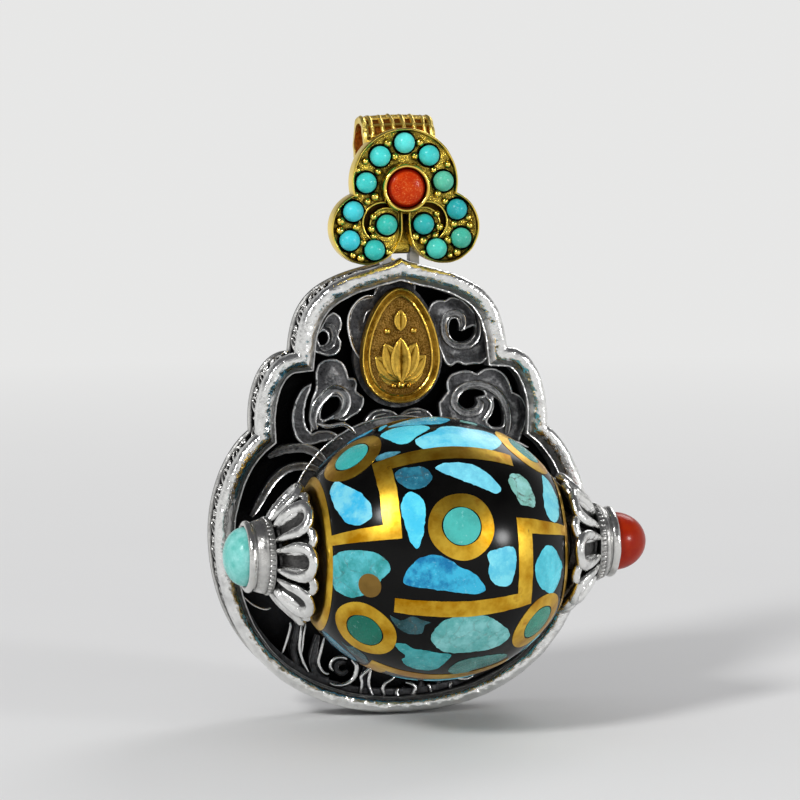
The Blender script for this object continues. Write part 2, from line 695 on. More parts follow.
# %% The tree of copies, and a function that runs it
def write_copies(book, inputs):
    """A unit on every point, its Z along the point's "out" and its X along the point's "along"."""
    def mark(label, kind):
        return book.node("GeometryNodeInputNamedAttribute", {"data_type": kind}, {"Name": label})

    unit = book.node("GeometryNodeObjectInfo", {"transform_space": "ORIGINAL"},
                     {"Object": inputs["Unit"]}, out="Geometry")
    turn = book.node("FunctionNodeAxesToRotation", {"primary_axis": "Z", "secondary_axis": "X"},
                     {"Primary Axis": mark("out", "FLOAT_VECTOR"),
                      "Secondary Axis": mark("along", "FLOAT_VECTOR")})
    size = mark("size", "FLOAT")
    scale = book.node("ShaderNodeCombineXYZ", {}, {axis: size * inputs["Size"] for axis in "XYZ"})
    return book.node("GeometryNodeInstanceOnPoints", {},
                     {"Points": inputs["Geometry"], "Instance": unit, "Rotation": turn, "Scale": scale})


copies = grown("copies_on_points", {
    "Geometry": "NodeSocketGeometry", "Unit": "NodeSocketObject", "Size": "NodeSocketFloat",
    "Finish": "NodeSocketMaterial",
}, write_copies)


def repeated(name, unit, places, out, along, material, sizes=None):
    """Copies a unit, drawn in mm with Z outwards and X along, onto places in mm about the wheel."""
    sizes = np.ones(len(places)) if sizes is None else sizes
    pattern = scratch("unit", np.asarray(unit.points) * MM, faces=unit.faces, **unit.mark_values())
    points = scratch("points", metres(places), out=out, along=along, size=sizes)
    mesh = grow(name, copies, points, {"Unit": pattern, "Size": 1.0, "Finish": material})
    clear(pattern, points)
    return mesh


def wire_rings(path, radius, sides=8, closed=False):
    """Rings of a wire along a path in mm; radius is one number or one for each point."""
    path = np.asarray(path, float)
    radii = np.broadcast_to(radius, len(path))
    ahead = np.roll(path, -1, 0) - np.roll(path, 1, 0) if closed else np.gradient(path, axis=0)
    ahead /= np.linalg.norm(ahead, axis=1)[:, None]
    side = np.cross((0.0, 0.0, 1.0), ahead)
    side /= np.linalg.norm(side, axis=1)[:, None]
    top = np.cross(ahead, side)
    angle = np.linspace(0, 2 * math.pi, sides, endpoint=False)
    return [p + r * (np.cos(angle)[:, None] * s + np.sin(angle)[:, None] * t)
            for p, r, s, t in zip(path, radii, side, top)]


# %% [markdown]
# ## Side lace
# The side of the case is a strip of silver lace over a darker wall: leaning leaf loops with a curl and a
# grain between them, held between two wires. One unit is drawn flat and copied along the outline.

# %% Lace unit: a leaf with its vein, a curl to each side of the gap beside it, and a grain in that gap
LACE_FRONT, LACE_BACK, LACE_DEPTH, LACE_STEP = 10.72, 14.12, 0.46, 2.3
LEAF_HALF, LEAF_LEAN, VEIN_LEAN = 0.52, 0.28, 0.2
LEAF_WIRE, VEIN_WIRE, CURL_WIRE = 0.15, 0.1, np.linspace(0.13, 0.09, 12)
GAP_PLACE, CURL_REACH, GRAIN_RADIUS = 1.12, 0.42, 0.17


def lace_unit():
    unit = Stock()
    half = (LACE_BACK - LACE_FRONT) / 2
    t = np.linspace(0, 2 * math.pi, 22, endpoint=False)
    leaf = np.stack([LEAF_HALF * np.sin(t) + LEAF_LEAN * np.cos(t), (half - 0.25) * np.cos(t), 0 * t], 1)
    unit.loft(wire_rings(leaf, LEAF_WIRE, 6, closed=True), closed=True)
    share = np.linspace(-1, 1, 7)
    vein = np.stack([VEIN_LEAN * share, (half - 0.7) * share, np.zeros(7)], 1)
    unit.loft(wire_rings(vein, VEIN_WIRE, 6), caps=True)
    angle = np.linspace(0, 1.6 * math.pi, len(CURL_WIRE))
    reach = CURL_REACH * (1 - 0.55 * angle / angle[-1])
    for side in (-1, 1):
        curl = np.stack([side * (GAP_PLACE - reach * np.cos(angle)),
                         side * (half - 0.75) * 0.62 + side * reach * np.sin(angle), 0 * angle], 1)
        unit.loft(wire_rings(curl, CURL_WIRE, 6), caps=True)
    return unit.loft(ball(GRAIN_RADIUS, GRAIN_RADIUS, (GAP_PLACE, 0, 0)))


print("faces of one lace unit:", len(lace_unit().faces))


# %% Lace along the outline
closed_line = np.vstack([outline, outline[:1]])
lengths = np.r_[0, np.cumsum(np.linalg.norm(np.diff(closed_line, axis=0), axis=1))]
lace_count = round(lengths[-1] / LACE_STEP)
stations = np.linspace(0, lengths[-1], lace_count, endpoint=False) + LACE_STEP / 2


def on_outline(loop, length):
    closed_loop = np.vstack([loop, loop[:1]])
    return np.stack([np.interp(length, lengths, closed_loop[:, i]) for i in range(2)], 1)


drawn_in = inset(outline, LACE_DEPTH)
spots = on_outline(drawn_in, stations)
ahead, behind = [on_outline(drawn_in, (stations + reach) % lengths[-1]) for reach in (0.2, -0.2)]
step = ahead - behind
step /= np.linalg.norm(step, axis=1)[:, None]
level = np.zeros(len(spots))
spots3 = np.stack([spots[:, 0], level + (LACE_FRONT + LACE_BACK) / 2, spots[:, 1]], 1)
outward = np.stack([step[:, 1], level, -step[:, 0]], 1)
forwards = np.stack([step[:, 0], level, step[:, 1]], 1)
lace_mesh = repeated("side_lace", lace_unit(), spots3, outward, forwards, lace_silver)
settle("side_lace", lace_mesh, "case", ["side_wall"])

# %% [markdown]
# ## Wall behind the lace
# Behind the lace runs a plain wall with a raised bead along each edge. It is blackened, so that the
# bright lace stands off it, and its two beads are rubbed.

# %% Wall behind the lace
wall = Stock().loft([case_ring(d, y) for d, y in [
    (0.14, 10.6), (0.14, 10.78), (0.3, 10.86), (0.62, 10.9), (0.62, 13.95), (0.3, 14.0), (0.14, 14.08),
    (0.14, 14.12), (1.27, 14.12), (1.27, 10.6)]], closed=True, lips=(1, 1, 0.6, 0, 0, 0.6, 1, 1, 0, 0))
new_piece("lace_wall", wall, wall_silver, "case", ["side_wall"])

# %% [markdown]
# ## Back plate
# The back lies on the wearer's chest, so it is flat, with a softened edge. An engraved double line
# follows the outline; the two grooves are part of the swept section, so they follow every lobe.

# %% Back
BACK_SECTION = [(1.3, 13.1), (1.3, 14.16), (0.16, 14.16), (0.12, 14.22), (0.12, 14.42), (0.17, 14.53),
                (0.3, 14.6), (1.1, 14.6), (1.16, 14.5), (1.28, 14.5), (1.34, 14.6), (1.6, 14.6),
                (1.64, 14.54), (1.72, 14.54), (1.76, 14.6)]
back = Stock().loft([case_ring(d, y) for d, y in BACK_SECTION])
for distance, depth in (BACK_SECTION[-1], BACK_SECTION[0]):
    face = case_ring(distance, depth)
    back.add(face, tessellate_polygon([[Vector(p) for p in face]]))
new_piece("back_cover", back, plain_silver, "case", ["back_plate"])

# %% [markdown]
# ## Lotus caps
# Each end of the wheel turns under a lotus: eight petals, each a thick bright loop round a sunk, sandy
# middle, with the tips of a second row between them. One petal is raised over U-shaped rings, from its
# rim to the line down its middle, on a cone that opens like a trumpet.

# %% One petal: its section gives share of the way to the spine, height over the cone, and how rubbed
CAP_ROOT_X, CAP_LENGTH, CAP_ROOT, CAP_TIP, FLARE = 13.65, 2.7, 2.5, 5.85, 1.7
PETALS = 8
PETAL_SECTION = [
    (1.0, -0.55, 0.2), (0.5, -0.52, 0.2), (0.12, -0.46, 0.4), (0.0, -0.3, 0.7), (-0.03, -0.08, 0.9),
    (0.0, 0.14, 1), (0.08, 0.27, 1), (0.19, 0.33, 1), (0.32, 0.31, 1), (0.44, 0.2, 1), (0.52, 0.0, 0.8),
    (0.58, -0.2, 0.2), (0.7, -0.32, 0), (1.0, -0.28, 0),
]


def cap_point(reach, angle, lift):
    """A place on the cap: share of a petal's length, angle round the axle, and height over the cone."""
    radius = CAP_ROOT + (CAP_TIP - CAP_ROOT) * reach
    x = CAP_ROOT_X - CAP_LENGTH * max(reach, 0) ** FLARE
    lean = math.atan2(CAP_LENGTH * FLARE * max(reach, 0.001) ** (FLARE - 1), CAP_TIP - CAP_ROOT)
    radius, x = radius + lift * math.sin(lean), x + lift * math.cos(lean)
    return x, -radius * math.cos(angle), radius * math.sin(angle)


def petal_unit(tip=1.0, half_angle=20.5, sink=0.0, foot=0.06, around=28):
    """A petal from its foot to its tip; the rim and the spine are walked together."""
    bend, half = 0.6 * tip, math.radians(half_angle)
    edge, spine = [], []
    for reach in np.linspace(foot, bend, 8, endpoint=False):
        edge.append((reach, -half * (0.86 + 0.14 * reach / bend)))
        spine.append((reach, 0))
    for turn in np.linspace(-90, 90, around // 2):
        t = math.radians(turn)
        edge.append((bend + (tip - bend) * math.cos(t) ** 0.8 if abs(turn) < 90 else bend,
                     half * math.sin(t)))
        spine.append((bend + 0.3 * (tip - bend) * math.cos(t), 0))
    mirror = [(reach, -angle) for reach, angle in edge[:8][::-1]]
    edge, spine = edge + mirror, spine + spine[:8][::-1]
    rings = [[cap_point(e[0] + (s[0] - e[0]) * share, e[1] + (s[1] - e[1]) * share, lift + sink)
              for e, s in zip(edge, spine)] for share, lift, lip in PETAL_SECTION]
    return Stock().loft(rings, around=False, lips=[lip for share, lift, lip in PETAL_SECTION])


print("faces of one petal:", len(petal_unit().faces))

# %% [markdown]
# ## A whorl about an axle
# Petals, teeth and crossbars all stand round an axle in equal steps. So one more tree turns each copy of
# the unit by its share of a full turn.


# %% The tree of whorls
def write_whorl(book, inputs):
    count, start = inputs["Count"], inputs["Start"]
    points = book.node("GeometryNodePoints", {}, {"Count": count})
    index = book.node("GeometryNodeInputIndex")
    angle = start + index * (2 * math.pi) / count
    turn = book.node("FunctionNodeAxisAngleToRotation", {}, {"Axis": (1, 0, 0), "Angle": angle})
    middle = book.node("ShaderNodeCombineXYZ", {}, {axis: inputs[f"Axle {axis}"] for axis in "XYZ"})
    placed = book.node("GeometryNodeSetPosition", {}, {"Geometry": points, "Position": middle})
    unit = book.node("GeometryNodeObjectInfo", {"transform_space": "ORIGINAL"},
                     {"Object": inputs["Unit"]}, out="Geometry")
    return book.node("GeometryNodeInstanceOnPoints", {},
                     {"Points": placed, "Instance": unit, "Rotation": turn})


whorl = grown("whorl_about_an_axle", {
    "Geometry": "NodeSocketGeometry", "Unit": "NodeSocketObject", "Count": "NodeSocketInt",
    "Start": "NodeSocketFloat", "Axle X": "NodeSocketFloat", "Axle Y": "NodeSocketFloat",
    "Axle Z": "NodeSocketFloat", "Finish": "NodeSocketMaterial",
}, write_whorl)
AXLE = metres([0, 0, 0])[0]


def around_axle(name, unit, count, start, material, middle=AXLE):
    pattern = scratch("unit", np.asarray(unit.points) * MM, faces=unit.faces, **unit.mark_values())
    seed = scratch("seed", [(0, 0, 0)])
    mesh = grow(name, whorl, seed, {
        "Unit": pattern, "Count": count, "Start": math.radians(start), "Finish": material,
        **{f"Axle {axis}": float(place) for axis, place in zip("XYZ", middle)}})
    clear(pattern, seed)
    return mesh


# %% [markdown]
# ## Caps of petals
# The hub is a turned boss, and the front row's petals lie over the tips of the row behind, half a step
# round. The case's arms pass behind the caps, so the points at the back are held clear of them.


# %% Caps of petals
def half_of(stock, points, side):
    """The same skin over moved points; side -1 mirrors it for the left end."""
    half = Stock().add(points * (side, 1, 1), stock.faces)
    half.marks = list(stock.marks)
    return half


HUB_SECTION = [(1.0, 13.6), (2.75, 13.62), (2.95, 13.5), (3.0, 13.3), (2.9, 13.12), (2.6, 13.0),
               (2.4, 12.4), (2.1, 11.5), (1.0, 11.48)]
ARM_OUTER, ARM_HALF, ROOM_OUT, ROOM_HIGH = 11.4, 2.1, 0.08, 0.12
cap = Stock().loft(turned(HUB_SECTION, 40), closed=True, lips=[0.3] * len(HUB_SECTION))
cap.gather(around_axle("petals", petal_unit(), PETALS, 0, petal_silver))
cap.gather(around_axle("tips", petal_unit(0.99, 16, -0.34, 0.3, 22), PETALS, 180 / PETALS, petal_silver))
cap.hand_made(0.07, 1.1)
points = np.array(cap.points)
behind = (points[:, 1] > 0) & (abs(points[:, 2]) < ARM_HALF + ROOM_HIGH)
points[behind & (points[:, 0] < ARM_OUTER + ROOM_OUT), 0] = ARM_OUTER + ROOM_OUT
for side, name in ((1, "right"), (-1, "left")):
    new_piece(name + "_lotus", half_of(cap, points, side), petal_silver, "case",
              [name + "_lotus_cap"], 40)

# %% [markdown]
# ## Bezels
# The cups outside the lotuses are turned: a milled foot, a slope that draws in to a waist, and a thick
# lip that is rubbed over the stone's edge. The foot's teeth are small balls drawn out along the axle.

# %% Bezels: radius, place along the axle, and how rubbed
BEZEL_SECTION = [
    (0.01, 13.7, 0), (3.0, 13.7, 0), (3.14, 13.8, 0.5), (3.17, 14.2, 0.6), (3.12, 14.32, 0.3),
    (3.1, 14.5, 0.6), (3.04, 14.75, 0.75), (2.95, 15.0, 0.75), (2.86, 15.2, 0.6), (2.84, 15.3, 0.3),
    (2.9, 15.42, 0.9), (2.98, 15.56, 1), (2.99, 15.72, 1), (2.93, 15.87, 1), (2.8, 15.97, 1),
    (2.66, 16.0, 1), (2.54, 15.94, 0.9), (2.48, 15.8, 0.5), (2.48, 15.2, 0), (0.01, 15.2, 0),
]
TEETH, TOOTH_X, TOOTH_OUT, TOOTH_LONG = 44, 14.12, 3.12, 1.7
RED_LIP_IN, LIP_FROM, LIP_OVER = 0.35, 14.6, 0.6
tooth = Stock().loft([ring * (TOOTH_LONG, 1, 1) - (TOOTH_X * (TOOTH_LONG - 1), 0, 0)
                      for ring in ball(0.14, 0.15, (TOOTH_X, TOOTH_OUT, 0))], lips=(0.7,) * 6)
cup = Stock().loft(turned([(r, x) for r, x, lip in BEZEL_SECTION], 64),
                   lips=[lip for r, x, lip in BEZEL_SECTION])
cup.gather(around_axle("teeth", tooth, TEETH, 0, bezel_silver)).hand_made(0.04, 1.2)
for side, name in ((1, "right"), (-1, "left")):
    points = np.array(cup.points)
    if side > 0:  # the red stone stands further out of its cup
        points[:, 0] -= RED_LIP_IN * np.clip((points[:, 0] - LIP_FROM) / LIP_OVER, 0, 1)
    new_piece(name + "_cup", half_of(cup, points, side), bezel_silver, "case",
              [name + "_bezel"], 40)

# %% [markdown]
# ## End stones
# The left stone is pale turquoise and low, the right one is coral and stands higher. Each has a straight
# girdle held by the lip, and a dome whose profile is a quarter of an ellipse.


# %% End stones
def dome(radius, girdle, rise, foot, sign=1):
    profile = [(0, foot), (radius, foot), (radius, girdle)]
    for a in np.linspace(0, math.pi / 2, 12)[1:]:
        profile.append((radius * math.cos(a), girdle + rise * math.sin(a)))
    return turned([(r, sign * along) for r, along in profile])


STONE_RADIUS = 2.45
PALE_STONE, PALE_DEEP = (*tone(150, 226, 220), 1), (*tone(104, 200, 190), 1)
pale = Stock().loft(dome(STONE_RADIUS, 15.9, 1.75, 15.3, sign=-1), tint=PALE_STONE, deep=PALE_DEEP)
new_piece("pale_cabochon", pale, turquoise, "case", ["turquoise_cabochon"], 60)
red = Stock().loft(dome(STONE_RADIUS, 15.72, 2.78, 15.2), edge=0.6)
new_piece("red_cabochon", red, coral_smooth, "case", ["coral_cabochon"], 60)

# %% [markdown]
# ## The wheel's skin
# The wheel is a barrel of black resin, ground flush with everything set in it. So its ornament is drawn
# on one surface: a place along the axle and an angle round it give a point, and gold and stone lie a hair
# above the black.

# %% Barrel: part of an ellipsoid, so one root gives its radius
WHEEL_RADIUS, WHEEL_REACH = 10.985, 12
SUNK, PROUD = -0.12, 0.012  # where the edge of an inlay ends under the skin, and how far its face stands out


def barrel(x):
    return WHEEL_RADIUS * np.sqrt(1 - (np.asarray(x, float) / WHEEL_REACH) ** 2)


def on_wheel(x, degrees, proud=0.0):
    """Points on the barrel, from places along the axle and angles up from the front."""
    radius = barrel(x) + proud
    angle = np.radians(degrees)
    return np.stack(np.broadcast_arrays(x, -radius * np.cos(angle), radius * np.sin(angle)), -1)


skin = [(float(barrel(x)) - 0.025, x) for x in np.linspace(-9.8, 9.8, 61)]
end_face = [(5.6, 9.9), (5.2, 9.93), (2.5, 9.93), (1.5, 9.93)]
core_section = [(r, -x) for r, x in end_face[::-1]] + skin + end_face
new_piece("wheel_body", Stock().loft(turned(core_section, 120), closed=True), jet, "wheel",
          ["wheel_core"], 50)

# %% [markdown]
# ## Gold in the wheel
# Six hooks of sheet gold run round the wheel, each from one ferrule, up or down past an eye, and on along
# a bar. They were cut with a saw and a file, so their edges waver a little.


# %% Strips on the barrel
def strip_on_wheel(stock, places, width, seed):
    """A gold strip along (x, degrees) corners, its ends cut square and its corners mitred."""
    rng = np.random.default_rng(seed)
    corners = np.array(places, float)
    per_degree = math.radians(1) * float(barrel(corners[:, 0].mean()))
    flat = corners * (1, per_degree)
    line, side = [], []
    for i in range(len(corners) - 1):
        a, b = flat[i], flat[i + 1]
        along = (b - a) / np.linalg.norm(b - a)
        across = np.array([-along[1], along[0]])
        turns = []
        for j, (p, q) in enumerate(((i - 1, i), (i + 1, i + 2))):
            if p < 0 or q >= len(corners):
                turns.append(across)
            else:
                other = (flat[q] - flat[p]) / np.linalg.norm(flat[q] - flat[p])
                mitre = across + np.array([-other[1], other[0]])
                mitre /= np.linalg.norm(mitre)
                turns.append(mitre / mitre.dot(across))
        count = max(3, int(np.linalg.norm(b - a) / 0.35))
        for t in np.linspace(0, 1, count):
            line.append(a + (b - a) * t)
            first, last = max(0, 1 - t * count), max(0, 1 - (1 - t) * count)
            side.append(turns[0] * first + turns[1] * last + across * (1 - first - last))
    line, side = np.array(line), np.array(side)
    waver = np.convolve(rng.normal(0, 0.05, (len(line) + 8)), np.ones(5) / 5, "same")[4:-4]
    rings = []
    for share, depth in ((-1, SUNK), *((share, PROUD) for share in (-1, -0.5, 0, 0.5, 1)), (1, SUNK)):
        drawn = line + side * (share * (width / 2 + waver * share))[:, None]
        rings.append(on_wheel(drawn[:, 0], drawn[:, 1] / per_degree, depth))
    stock.loft(rings, around=False, closed=True)


# %% Ferrules and hooks
HOOK_START, HOOK_EVERY, HOOK_RISE, HOOK_WIDTH = 17, 120, 36, 1.35
HOOK_FOOT, HOOK_TURN, HOOK_TIP = 9.85, 5.5, -5.4
FERRULE = [(2.4, 9.95), (5.0, 9.95), *((float(barrel(x)) + over, x) for x, over in (
    (9.8, -0.15), (9.8, 0.01), (10.0, 0.015), (10.17, 0.005), (10.2, -0.06))),
           (5.0, 10.2), (4.9, 10.12), (4.0, 10.1), (2.3, 10.14), (2.3, 10.0)]
for side, name in ((-1, "left"), (1, "right")):
    gold = Stock().loft(turned([(r, side * x) for r, x in FERRULE], 120), closed=True)
    for i in range(3):
        start = HOOK_START + HOOK_EVERY * i
        end = start - side * HOOK_RISE
        hook = [(side * HOOK_FOOT, start), (side * HOOK_TURN, start), (side * HOOK_TURN, end),
                (side * HOOK_TIP, end)]
        strip_on_wheel(gold, hook, HOOK_WIDTH, seed=10 * i + side + 2)
    new_piece(name + "_gold", gold, inlay_gold, "wheel", [name + "_gold_inlay"], 50)

# %% [markdown]
# ## Eyes
# Nine ringed eyes: three round the middle of the wheel and a row of three near each end. Each is a flat
# gold ring round a turquoise disc. A flat circle would sink into the barrel at its sides, so each point
# is dropped onto the barrel along one direction.

# %% Eye rings and discs
EYES = [(0, 17), (0, 137), (0, 257), *((x, degrees) for x in (-7.35, 7.35) for degrees in (-40, 73, 197))]
EYE_TINTS = [(79, 190, 182), (70, 182, 160), (50, 160, 150), (18, 118, 98), (62, 184, 180), (60, 168, 160),
             (58, 146, 124), (84, 164, 160), (70, 170, 150)]
RING_OUTER, RING_MIDDLE, RING_INNER, DISC, RING_POINTS = 2.75, 2.2, 1.64, 1.55, 56
DEEPER = 0.9 ** 2


def stone(tint):
    pale = np.array(tone(*tint))
    return {"tint": (*pale, 1), "deep": (*(pale * DEEPER), 1), "matrix": 0.0}


def eye_ring(eye, radius, proud, waver=0.0):
    middle = on_wheel(eye[0], eye[1])
    out = middle / np.array([WHEEL_REACH, WHEEL_RADIUS, WHEEL_RADIUS]) ** 2
    out /= np.linalg.norm(out)
    across = np.cross((1, 0, 0), out)
    across /= np.linalg.norm(across)
    along = np.cross(out, across)
    angle = np.linspace(0, 2 * math.pi, RING_POINTS, endpoint=False)
    radius = radius + waver
    points = middle + (np.cos(angle) * radius)[:, None] * across + (np.sin(angle) * radius)[:, None] * along
    scale = np.array([WHEEL_REACH, WHEEL_RADIUS, WHEEL_RADIUS]) + proud
    p, d = points / scale, out / scale
    b = p @ d
    drop = (b - np.sqrt(b * b - d.dot(d) * ((p * p).sum(1) - 1))) / d.dot(d)
    return points - drop[:, None] * out


def uneven(waves, lobes, rng):
    return 0.025 * np.sin(lobes * waves + rng.uniform(0, 6)) + 0.02 * np.sin(5 * waves + rng.uniform(0, 6))


rng = np.random.default_rng(3)
waves = np.linspace(0, 2 * math.pi, RING_POINTS, endpoint=False)
for number, (eye, tint) in enumerate(zip(EYES, EYE_TINTS), 1):
    outer, inner = uneven(waves, 3, rng), uneven(waves, 2, rng)
    ring = Stock().loft([eye_ring(eye, radius, proud, waver) for radius, proud, waver in (
        (RING_OUTER, SUNK, outer), (RING_OUTER, PROUD, outer), (RING_MIDDLE, PROUD, (outer + inner) / 2),
        (RING_INNER, PROUD, inner), (RING_INNER, SUNK, inner))], closed=True)
    new_piece(f"gold_eye_{number}", ring, inlay_gold, "wheel", [f"eye_ring_{number}"], 50)
    disc = Stock().loft([eye_ring(eye, DISC, SUNK)] + [
        eye_ring(eye, r, PROUD + 0.015 * (1 - r / DISC)) for r in (DISC, 1.5, 1.2, 0.8, 0.4, 0.01)],
        **stone(tint))
    new_piece(f"turquoise_eye_{number}", disc, turquoise, "wheel", [f"eye_stone_{number}"], 50)

# %% [markdown]
# ## Turquoise chips
# The black is crowded with chips of natural turquoise. Their outlines were traced once, in millimetres
# about each chip's middle, and some are used again, turned or smaller, on the side of the wheel that
# isn't seen from the front.

# %% Chip outlines
CHIPS = dict(strokes("""
A -0.59,2.96 -0.18,1.99 0.36,1.08 0.93,0.2 1.38,-0.75 1.37,-1.75 0.49,-2.21 -0.4,-1.74 -0.8,-0.77 -1.04,0.25
-1.14,1.3 -1.13,2.36
B -1.3,0.9 -0.67,1.11 0.01,0.97 0.69,0.88 1.2,0.5 1.44,-0.13 1.19,-0.75 0.61,-1.1 -0.08,-1.17 -0.67,-0.88
-1.12,-0.37 -1.39,0.25
C -0.14,2.19 0.61,1.71 0.93,0.89 0.89,-0.02 0.72,-0.93 0.48,-1.81 0.06,-2.61 -0.44,-2.02 -0.65,-1.12
-0.82,-0.22 -0.95,0.68 -0.75,1.56
D -0.9,0.28 -0.52,0.41 -0.13,0.41 0.26,0.29 0.65,0.15 1.02,-0.01 1.09,-0.16 0.7,-0.29 0.31,-0.37 -0.1,-0.37
-0.5,-0.29 -0.84,-0.12
E -1.75,1.07 -0.98,1.49 -0.05,1.36 0.83,1.03 1.72,0.69 2.15,0.03 1.51,-0.64 0.72,-1.15 0,-1.76 -0.85,-1.52
-1.27,-0.71 -1.65,0.15
F -3.94,-0.1 -3.05,0.53 -2.02,1.03 -1.21,1.77 -0.02,1.85 1.18,1.72 2.37,1.88 3.41,1.59 3.57,0.44 3.05,-0.65
2.18,-1.46 1.04,-1.69 -0.16,-1.67 -1.37,-1.82 -2.58,-1.81 -3.59,-1.26
G 1.25,1.65 1.98,0.83 2.14,-0.15 1.5,-1.07 0.64,-1.47 -0.46,-1.27 -1.49,-0.9 -2.46,-0.34 -2.99,0.26
-1.93,0.61 -0.87,0.96 0.19,1.3
H -3.09,-0.54 -2.87,0.46 -2.28,1.28 -1.39,1.77 -0.37,1.79 0.53,1.31 1.37,0.75 2.31,0.33 3.07,-0.34
3.56,-1.25 2.81,-1.54 1.79,-1.4 0.77,-1.28 -0.25,-1.11 -1.26,-0.95 -2.29,-0.88
I -2.78,0.88 -2.09,1.23 -1.29,1.24 -0.49,1.21 0.29,1.07 0.98,0.69 1.56,0.15 2.05,-0.49 2.46,-1.17 2.01,-1.67
1.27,-1.43 0.53,-1.12 -0.21,-0.82 -0.93,-0.46 -1.64,-0.09 -2.34,0.3
J -1.21,0.56 -0.88,1.19 -0.25,1.5 0.4,1.29 0.8,0.73 1,0.04 1.11,-0.67 0.95,-1.34 0.25,-1.41 -0.39,-1.41
-0.71,-0.77 -1.04,-0.14
K -0.3,2.28 0.36,2.05 0.67,1.25 0.85,0.42 0.82,-0.44 0.66,-1.28 0.2,-1.98 -0.54,-1.85 -0.86,-1.1 -0.83,-0.25
-0.67,0.6 -0.49,1.44
M -1.31,1.09 -0.55,1.4 0.26,1.57 1.07,1.44 1.24,0.66 1.12,-0.15 1.01,-0.97 0.64,-1.69 -0.16,-1.66
-0.86,-1.25 -1.24,-0.53 -1.21,0.28
N -1.03,1.49 -0.29,2.08 0.52,1.79 1.02,0.99 1.41,0.12 1.35,-0.77 1.08,-1.67 0.41,-2.33 -0.29,-1.72 -1,-1.08
-1.43,-0.25 -1.49,0.68
O -1.72,1.19 -1.16,1.81 -0.33,1.92 0.51,1.82 1.33,1.62 2.04,1.15 2.42,0.51 1.88,-0.11 1.38,-0.8 0.82,-1.43
0.16,-1.97 -0.62,-2.29 -1.35,-2.1 -1.7,-1.34 -1.74,-0.5 -1.64,0.35
P -1.71,0.69 -1.41,0.02 -0.91,-0.53 -0.23,-0.82 0.49,-0.8 0.93,-0.55 1.01,0.18 1.46,0.52 0.73,0.68 0.01,0.87
-0.59,0.49 -1.13,0.26
Q -3.32,-0.22 -3.09,0.87 -2.42,1.74 -1.41,2.23 -0.3,2.32 0.8,2.08 1.76,1.49 2.59,0.73 3.3,-0.15 3.51,-1.19
2.71,-1.89 1.59,-1.99 0.47,-1.93 -0.66,-1.87 -1.78,-1.74 -2.73,-1.16
R -2.41,1.44 -1.66,1.74 -0.94,1.3 -0.11,1.32 0.71,1.15 1.56,1.06 2.22,0.84 2,0.03 1.66,-0.74 1.21,-1.44
0.49,-1.75 -0.34,-1.65 -1.1,-1.32 -1.57,-0.66 -1.39,0.14 -2,0.73
S -2.39,-0.26 -2,0.78 -1.07,1.36 0.04,1.34 1.13,1.16 2.09,0.65 2.75,-0.13 2.16,-0.82 1.06,-0.86 0.02,-0.97
-0.87,-1.62 -1.84,-1.22
"""))

# %% Where the chips lie: outline, place along the axle, angle, and if changed, size and turn
CHIP_PLACES = strokes("""
A -8.3,38.9 B -3.34,41.7 C -3.77,22.7 D -4.96,58.8 E -2.98,72.7 F 1.45,64.1 G -0.78,84.5 H -1.69,-4.3
I 1.31,40.4 J 5.79,35.8 K 8.63,36.6 M 3.35,-1 N 7.94,-7.3 O -8.17,-4.5 P -3.97,-28.5 Q 1.02,-33.6
R -2.56,-49.3 S 2.24,-55.9 G -0.78,-155.5 H -1.69,115.7 I 1.31,160.4 J 5.79,155.8 M 3.35,119 N 7.94,112.7
B -8.3,-80,1,1.2,0 H -1.69,-124.3 I 1.31,-79.6 J 5.79,-84.2 M 3.35,-121 N 7.94,-127.3 K 3.2,-164,1,1,-30
K -6.8,-127,-1,1,150 B 0.2,-170,-1,-1,60 D -8.1,154,1,-1,150 D -3.7,-147,-1,1,-30 D -6.3,121,-1,-1,90
D 3.9,-104,1,1,150 B -7.9,109,-0.8,0.8,-30 P 4,92,0.8,-0.8,0 M -2.6,-84,0.8,-0.8,0 D -3.9,-166,-0.8,-0.8,90
P -7.3,-65,-0.8,-0.8,-30 D -8.1,172,0.6,0.6,0 D -8.4,-116,0.6,-0.6,-30 D 4.1,-90,0.6,-0.6,0
P 8.1,158,-0.6,-0.6,0 N 7.6,-69,-0.6,-0.6,-30 R -2.6,155,0.6,0.6,30 C 3.2,147,-0.6,-0.6,60
J 3,84,-0.45,-0.45,60 D -2.2,-167,-0.45,-0.45,60 P -8.5,-128,0.45,-0.45,-30 R -3.9,-103,-0.45,0.45,90
B 4.4,-96,0.45,0.45,90 P -5.1,124,-0.45,0.45,0 M -8.7,124,0.45,-0.45,60 B 8.6,-91,-0.45,0.45,0
B 4.2,-176,-0.45,0.45,30 P 7.9,171,-0.45,-0.45,-30 M -8.2,165,0.45,-0.45,90 D 8.5,-83,0.45,-0.45,60
M 4,-148,-0.45,0.45,90 C -4.1,89,0.33,0.33,-30 D -2.2,-148,0.33,0.33,90 B 7.6,-84,-0.33,-0.33,-30
D -4.8,-131,-0.33,-0.33,0 P -4.7,-178,0.33,0.33,0 H -5.7,94,-0.33,-0.33,0 I 1,-180,0.33,0.33,30
P -6.9,145,-0.33,-0.33,150 C -2.2,-175,-0.33,-0.33,60 K -3.9,137,0.33,0.33,90 A 1.3,-146,-0.33,0.33,90
""")
